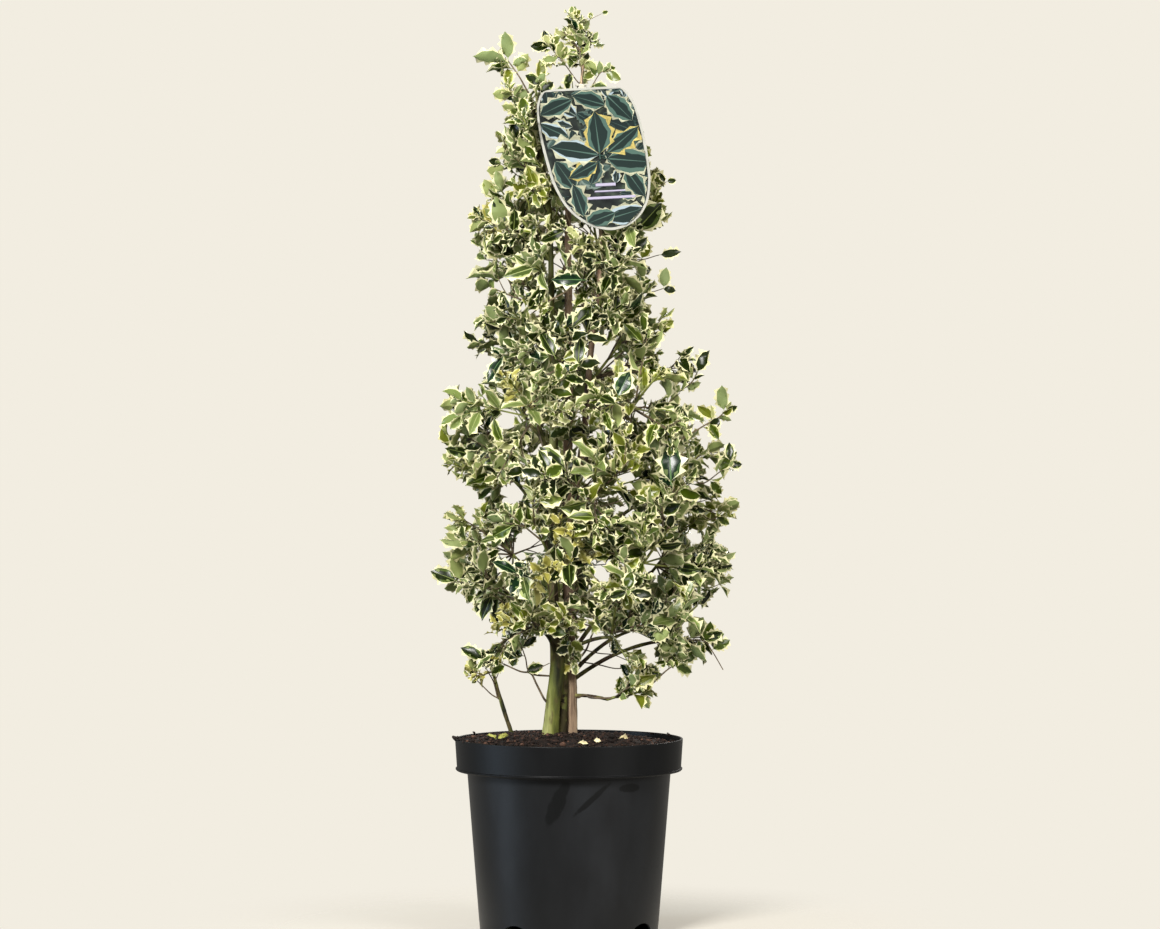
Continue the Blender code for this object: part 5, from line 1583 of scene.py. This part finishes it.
PROXY_POINTS = [Vector(p) for p in (
    (0.12, 0.0, 0.0), (0.45, 0.24, 0.02), (0.8, 0.18, 0.0), (1.08, 0.0, -0.04),
    (0.8, -0.18, 0.0), (0.45, -0.24, 0.02),
)]
PROXY_FACES = [(0, 5, 1), (1, 5, 4), (1, 4, 2), (2, 4, 3)]


def leaf_proxy(frame):
    """The corners of a leaf's outline, its middle, and a tree of its faces for tests of clearance."""
    corners = [frame @ point for point in PROXY_POINTS]
    return corners, corners[1].lerp(corners[4], 0.5), BVHTree.FromPolygons(corners, PROXY_FACES)


def leaf_length(rng):
    """The length of a leaf: most are small, and a few are large."""
    smallest, largest = LEAF_LENGTHS
    return smallest + (largest - smallest) * rng.random() ** SMALL_LEAVES


def grow_leaves(mass, path, first_share, scale, guards, placed):
    """Matrices of the leaves along one shoot. A leaf that finds no free place is skipped."""
    rng = mass["rng"]
    length = path_length(path)
    along = (path[-1] - path[0]).normalized()
    across = along.orthogonal().normalized()
    turn = rng.uniform(0, 2 * math.pi)
    spacing = LEAF_SPACING * scale
    count = TIP_LEAVES + int(length * (1 - first_share) / spacing)
    leaves = []
    for i in range(count):
        tip = i < TIP_LEAVES
        share = 1.0 - 0.02 * i if tip else 1.0 - (i - TIP_LEAVES + 1) * spacing / length
        spot = spot_on(path, max(share, first_share))
        inner = (spot - crown_axis(spot.z)).xy.length < INNER_LEAVES * crown_reach(spot.z)
        if rng.random() < BARE_SHARE or (inner and mass["radius"] is None):
            continue
        lean = TIP_LEAN if tip else SIDE_LEAN
        for attempt in range(LEAF_TRIES):
            side = Matrix.Rotation(turn + GOLDEN_ANGLE * (i + 0.37 * attempt), 3, along) @ across
            direction = along + side * (lean + 0.06 * attempt) + UP * rng.uniform(*LEAF_LIFTS)
            face = FACE_UP * UP + FACE_OUT * (spot - crown_axis(spot.z)).normalized()
            face += random_step(rng, FACE_SPREAD)
            size = leaf_length(rng) * scale * (TIP_LEAF_SHARE if tip else 1.0)
            if direction.normalized().cross(face.normalized()).length < LEAST_TURN:
                continue
            frame = leaf_frame(spot, direction, face, size, rng.uniform(*LEAF_BREADTHS))
            corners, middle, proxy = leaf_proxy(frame)
            if not all(in_crown(corner, mass, LEAF_OVERREACH) for corner in corners[1:]):
                continue
            near = [tree for other, tree in placed if (other - middle).length < NEAR_LEAF]
            if any(proxy.overlap(tree) for tree in guards + near):
                continue
            placed.append((middle, proxy))
            leaves.append(frame)
            break
    return leaves


def any_tone(rng):
    """One of the tones, by their weights."""
    return rng.choices(list(TONE_WEIGHTS), TONE_WEIGHTS.values())[0]


def tone_of(spot, rng):
    """The tone of a spray that ends at this spot."""
    for x, z in YOUNG_SPOTS:
        if spot.y < 0.02 and math.hypot(spot.x - x, spot.z - z) < YOUNG_RADIUS:
            return "young"
    return any_tone(rng)


def add_leaf(shape, kind, frame, tone):
    """Adds one leaf of this kind and tone to a shape, set by a frame."""
    points, faces, zones = kind
    shape.add(moved(points, frame), faces, zones + len(ZONES) * list(TONES).index(tone))


def pick_kind(kinds, frame, rng):
    """The form of a leaf: one with a midrib where it is large."""
    small, fine = kinds
    forms = fine if frame.to_scale().x > FINE_LENGTH else small
    return forms[rng.randrange(len(forms))]


def grow_mass(mass, index, centres, guards, marked, kinds, leaves, twigs):
    """Adds one mass's twigs to the shape of twigs, and its leaves to the shape of its tier."""
    rng = mass["rng"]
    stem = mass["stem"]
    tube(twigs, stem, tapered(STEM_RADIUS, TWIG_RADIUS * 0.8, len(stem)), TWIG_SIDES, 0)
    sprays = [([stem], STEM_FIRST_LEAF)]
    for twig in grow_twigs(mass, index, centres):
        shoots = [twig, *grow_twiglets(mass, twig)]
        sprays.append((shoots, TWIG_FIRST_LEAF))
        slot = rng.choice(TWIG_SLOTS)
        for shoot, radius in zip(shoots, [TWIG_RADIUS] + [TWIGLET_RADIUS] * len(shoots)):
            radii = tapered(radius, radius * TIP_RADIUS_SHARE, len(shoot))
            tube(twigs, shoot, radii, TWIG_SIDES, slot)
    placed = [entry for entry in marked if (entry[0] - mass["centre"]).length < 2 * CELL_SPREAD]
    for shoots, first_share in sprays:
        tone = tone_of(shoots[0][-1], rng)
        scale = mass["size"] * TONE_SIZES.get(tone, 1.0)
        for shoot in shoots:
            for frame in grow_leaves(mass, shoot, first_share, scale, guards, placed):
                worn = rng.choice(list(TONES)[:ODD_TONES]) if rng.random() < ODD_LEAVES else tone
                add_leaf(leaves, pick_kind(kinds, frame, rng), frame, worn)


def shown_leaves(curve, rows, rng):
    """Frames and tones of the leaves that a spray shows in the front view."""
    found = []
    for share, angle, length, tone, *given in rows:
        side = given[0] if given else 1
        turn = math.radians(angle)
        direction = Vector((math.cos(turn), rng.uniform(-0.22, 0.10), math.sin(turn)))
        face = Vector((rng.uniform(-0.3, 0.3), -side, rng.uniform(-0.2, 0.4)))
        face += UP * EDGE_LIFT * (1 - abs(side))
        size, breadth = length / (1 + PETIOLE), rng.uniform(*SPRAY_BREADTHS)
        found.append((leaf_frame(spot_on(curve, share), direction, face, size, breadth), tone))
    return found


def tuft_leaves(curve, count, smallest, largest, rng):
    """Frames and tones of small leaves that turn about the outer part of a spray's shoot."""
    along = (curve[-1] - curve[len(curve) // 2]).normalized()
    across = along.orthogonal().normalized()
    found = []
    for i in range(count):
        share = 1.0 - TUFT_SPAN * i / count
        side = Matrix.Rotation(GOLDEN_ANGLE * i, 3, along) @ across
        direction = along * rng.uniform(0.4, 1.0) + side * (0.4 + 1.0 * (1 - share))
        face = UP * 0.5 + side * 0.3 + random_step(rng, 0.8)
        size = rng.uniform(smallest, largest) * (0.7 + 0.5 * min(1.0, 2 * (1 - share)))
        found.append((leaf_frame(spot_on(curve, share), direction, face, size), any_tone(rng)))
    return found


def make_sprays(wood, kinds, twigs):
    """The sprays that the photograph shows apart, as one shape, and their leaves' proxies.

    A spray starts from the nearest wood. Its leaves are set by share of its length, by their
    angle in the front view and by the side shown, from 1 to -1. A tuft adds small leaves.
    """
    leaves, marked = Shape(), []
    for name, radius, line, rows, *tufts in SPRAYS:
        rng = random.Random(f"{SEED}-spray-{name}")
        path = [Vector(point) for point in line]
        root = min(wood, key=lambda point: (point - path[0]).length)
        if (root - path[0]).length > ROOT_GAP:
            path = [root, *path]
        curve = catmull_rom([(*point, 0.0) for point in path], SPRAY_SAMPLES)[0]
        tube(twigs, curve, tapered(radius, radius * TIP_RADIUS_SHARE, len(curve)), TWIG_SIDES + 1, 1)
        frames = shown_leaves(curve, rows, rng)
        for tuft in tufts:
            frames += tuft_leaves(curve, *tuft, rng)
        for frame, tone in frames:
            add_leaf(leaves, pick_kind(kinds, frame, rng), frame, tone)
            marked.append(leaf_proxy(frame)[1:])
    return leaves, marked


def bark_trees(lines):
    """A tree of each upright limb's faces, which leaves keep clear of."""
    trees = []
    for points, radii in lines.values():
        coarse = Shape()
        tube(coarse, points[::8], radii[::8], 8)
        corners = [Vector(point) for point in coarse.points[0]]
        trees.append(BVHTree.FromPolygons(corners, coarse.faces[0].tolist()))
    return trees


def make_foliage(lines, bark):
    """The boughs, twigs and leaves, which replace the CAD model's boughs and masses."""
    masses = plan_tiers(lines) + plan_lone_masses(lines)
    centres = [mass["centre"] for mass in masses]
    boughs, twigs = Shape(), Shape()
    bough_names = []
    wood = [point for points, _ in lines.values() for point in points[::4]]
    for mass in masses:
        grow_stem(mass)
        wood += mass["stem"][1:]
        if mass["limb"] in lines:
            continue
        path = bough_path(mass, lines)
        radii = tapered(BOUGH_RADIUS * (0.7 + 1.4 * mass["reach"]), STEM_RADIUS, BOUGH_POINTS)
        tube(boughs, path, radii, BOUGH_SIDES, 0, smooth_bark)
        bough_names.append(mass["limb"])
        wood += path[4:]
    kinds = leaf_kinds()
    materials = leaf_materials()
    spray_leaves, marked = make_sprays(wood, kinds, twigs)
    tiers = {}
    guards = bark_trees(lines)
    for index, mass in enumerate(masses):
        shape = tiers.setdefault(mass["piece"], Shape())
        grow_mass(mass, index, centres, guards, marked, kinds, shape, twigs)
    for tier, shape in tiers.items():
        names = [mass["name"] for mass in masses if mass["piece"] == tier]
        settle(shape.piece(f"leaves_tier_{tier}", materials, LEAF_CREASE), names)
    settle(spray_leaves.piece("leaves_of_sprays", materials, LEAF_CREASE))
    settle(boughs.piece("boughs_bark", [bark], WOOD_CREASE), bough_names)
    settle(twigs.piece("twigs", twig_materials(), WOOD_CREASE))


# Label


def label_outline(inset):
    """The label's outline in its own frame, smooth and moved in by inset, from its top right."""
    right = [label_point(across, down) for down, across in LABEL_OUTLINE]
    left = [label_point(-across, down) for down, across in reversed(LABEL_OUTLINE)]
    corners = [Vector(p) for p in [*right, label_point(0.0, 1.0), *left]]
    centre = Vector(label_point(0.0, LABEL_MIDDLE))
    found = []
    count = len(corners)
    for i in range(count):
        before, a, b, after = [corners[(i + step) % count] for step in (-1, 0, 1, 2)]
        straight = i in (count - 2, count - 1, 0)
        steps = 1 if i == count - 1 else 3
        for t in [step / steps for step in range(steps)]:
            found.append(a.lerp(b, t) if straight else spline_point(before, a, b, after, t))
    return [p + (centre - p).normalized() * inset for p in found]


def slab(shape, outline, low, high, slot):
    """Adds a flat slab in the label's frame from a convex outline."""
    count = len(outline)
    middle = sum(outline, Vector((0, 0))) / count
    points = [(p.x, p.y, z) for z in (low, high) for p in outline]
    points += [(middle.x, middle.y, low), (middle.x, middle.y, high)]
    faces = []
    for i in range(count):
        j = (i + 1) % count
        faces += [(j, i, count + i), (j, count + i, count + j)]
        faces += [(2 * count, i, j), (2 * count + 1, count + j, count + i)]
    shape.add(moved(points, label_frame()), faces, slot)


def kept_on_card(x, y):
    """A point of the label's frame, moved inside the pale border where it is outside."""
    down = min(max(-y / LABEL_LENGTH, 0.022), 0.972)
    half = label_point(between(LABEL_OUTLINE, down)[1], 0.0)[0] - LABEL_BORDER
    middle = label_point(0.0, down)[0]
    return min(max(x, middle - half), middle + half), -down * LABEL_LENGTH


def printed_leaf(shape, kind, row, height, slots):
    """Adds one flat leaf of the label's picture at this height over the card."""
    across, down, turn, length = row
    points, faces, zones = kind
    x, y = label_point(across, down)
    angle = math.radians(turn)
    flat = []
    for along, aside, _ in points:
        along -= PRINT_MIDDLE
        spun_x = along * math.cos(angle) - aside * math.sin(angle)
        spun_y = along * math.sin(angle) + aside * math.cos(angle)
        flat.append((*kept_on_card(x + spun_x * length, y + spun_y * length), height))
    top = np.nonzero(zones != ZONES.index("back"))[0]
    shape.add(moved(flat, label_frame()), faces[top], np.array(slots)[zones[top]])


def add_strap(shape, lines):
    """Adds the strap from the label's top to its ring round the second stem."""
    held = point_at(lines["second_stem"], LABEL_TOP.z + STRAP_SINK)
    start = label_frame() @ Vector((0.0, -STRAP_SINK, LABEL_THICKNESS))
    aside = Vector((*(LABEL_TOP - held).xy, 0.0)).normalized()
    radius = (STRAP_RING + STRAP_HOLE) / 2
    end = held + aside * radius
    side = (end - start).cross(UP).normalized() * STRAP_WIDTH / 2
    up = side.cross(end - start).normalized() * STRAP_THICKNESS / 2
    box = [p + s + u for p in (start, end) for s in (side, -side) for u in (up, -up)]
    shape.add(box, [(0, 1, 3), (0, 3, 2), (4, 6, 7), (4, 7, 5), (0, 2, 6), (0, 6, 4),
                    (1, 5, 7), (1, 7, 3), (0, 4, 5), (0, 5, 1), (2, 3, 7), (2, 7, 6)], STRAP)
    ring = [held + outward(360 * i / STRAP_STEPS) * radius for i in range(STRAP_STEPS + 1)]
    tube(shape, ring, [STRAP_WIRE] * len(ring), 8, STRAP)


def make_label(lines):
    """The card with its pale border, a made-up picture of holly leaves, stripes and its strap."""
    shape = Shape()
    face = LABEL_THICKNESS / 2
    slab(shape, label_outline(0.0), -face, face, BORDER)
    slab(shape, label_outline(LABEL_BORDER), 0.0, face + PRINT_RAISE, GROUND)
    kinds = [leaf_kind(number, LEAF_STYLES[2], LABEL_MARGINS) for number in LABEL_KINDS]
    rng = random.Random(f"{SEED}-label")
    rows = []
    for _ in range(BACK_LEAVES):
        turn, length = rng.uniform(0, 360), rng.uniform(*BACK_LEAF_LENGTHS)
        slots = rng.choice(BACK_LOOKS)
        rows.append(((rng.uniform(-1, 1), rng.uniform(0.0, 1.0), turn, length), slots))
    rows += [(row[:4], LABEL_LOOKS[row[4]]) for row in LABEL_LEAVES]
    for order, (row, slots) in enumerate(rows):
        height = face + PRINT_RAISE * (2 + order)
        printed_leaf(shape, kinds[order % len(kinds)], row, height, slots)
    top = face + PRINT_RAISE * (2 + len(rows))
    for across, down, length, width in LABEL_STRIPES:
        x, y = label_point(across, down)
        turns = ((1, 1), (-1, 1), (-1, -1), (1, -1))
        corners = [Vector((x + length / 2 * i, y + width / 2 * j)) for i, j in turns]
        slab(shape, corners, face, top, STRIPE)
    add_strap(shape, lines)
    settle(shape.piece("label_card", label_materials(), LABEL_CREASE), ["label"])


# Light and view


def add_light(name, place, target, size, power, colour):
    """A soft square light at place that faces target."""
    data = bpy.data.lights.new(name, "AREA")
    data.size = size
    data.energy = power
    data.color = colour
    light = bpy.data.objects.new(name, data)
    light.location = place
    light.rotation_euler = (Vector(target) - Vector(place)).to_track_quat("-Z", "Y").to_euler()
    bpy.context.scene.collection.objects.link(light)


def make_floor(colour):
    """A pale floor that fades into the backdrop away from the pot."""
    inputs = {"Base Color": linear(colour), "Roughness": FLOOR_ROUGHNESS}
    material, tree, shader = new_material("pale_floor", inputs)
    fall = add_oval(tree, add_place(tree), {"Scale": (FLOOR_FALL,) * 3})
    inputs = {"Value": fall, "From Max": FLOOR_WHOLE}
    fade = add_node(tree, "MapRange", inputs, interpolation_type="SMOOTHSTEP")
    set_inputs(tree, shader, {"Alpha": fade.outputs["Result"]})
    bpy.ops.mesh.primitive_circle_add(vertices=FLOOR_SIDES, radius=FLOOR_RADIUS, fill_type="NGON")
    floor = bpy.context.object
    floor.name = "floor"
    floor.location.z = FLOOR_HEIGHT
    floor.data.materials.append(material)


def make_backdrop(colour):
    """An even backdrop of this colour, as it is seen, that lights the tree only softly."""
    world = bpy.data.worlds.new("backdrop")
    bpy.context.scene.world = world
    world.use_nodes = True
    tree = world.node_tree
    sky = set_inputs(tree, tree.nodes["Background"], {"Color": linear(colour)})
    glow = add_node(tree, "Background", {"Color": linear(colour), "Strength": GLOW})
    mix = add_node(tree, "MixShader", {
        "Fac": add_node(tree, "LightPath", {}).outputs["Is Camera Ray"],
        1: glow.outputs["Background"],
        2: sky.outputs["Background"],
    })
    set_inputs(tree, tree.nodes["World Output"], {"Surface": mix.outputs["Shader"]})


def make_stage():
    """The backdrop, the floor, the lights and the camera."""
    scene = bpy.context.scene
    make_backdrop(BACKDROP)
    make_floor(FLOOR)
    for light in LIGHTS:
        add_light(*light)
    camera_data = bpy.data.cameras.new("camera")
    camera_data.sensor_width = SENSOR_WIDTH
    camera_data.lens = SENSOR_WIDTH * -CAMERA_PLACE[1] / VIEW_WIDTH
    camera = bpy.data.objects.new("camera", camera_data)
    camera.location = CAMERA_PLACE
    camera.rotation_euler = (math.pi / 2, 0.0, 0.0)
    scene.collection.objects.link(camera)
    scene.camera = camera
    scene.view_settings.view_transform = "Standard"


def make_scraps():
    """Pale fallen petals and a sprig of tiny leaves, which lie on the compost."""
    shape = Shape()
    materials = [
        grained("pale_scrap", [(0.3, (196, 184, 140)), (0.7, (222, 212, 178))], 300.0, shine=0.3),
        grained("sprig", [(0.3, (118, 122, 52)), (0.7, (168, 166, 92))], 300.0, shine=0.3),
    ]
    for slot, rows in enumerate((SCRAPS, SPRIG)):
        points, faces, _ = leaf_kind(SCRAP_KINDS[slot], LEAF_STYLES[1])
        for x, y, turn, length, breadth in rows:
            base = Vector((x, y, compost_height(x, y) + SCRAP_LIFT))
            direction = outward(turn) + UP * (0.05 + 0.5 * slot)
            frame = leaf_frame(base, direction, Vector((0.0, -0.8, 0.7)), length, breadth)
            shape.add(moved(points, frame), faces, slot)
    settle(shape.piece("scraps_on_compost", materials))


def main():
    for old in list(bpy.data.objects):
        bpy.data.objects.remove(old)
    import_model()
    make_stage()
    settle(make_pot(pot_materials()), ["pot"])
    settle(make_compost(soil_materials()), ["compost"])
    make_scraps()
    lines = limb_lines()
    barks = bark_materials()
    make_limbs(lines, barks)
    make_foliage(lines, barks["bough_bark"])
    make_label(lines)


main()
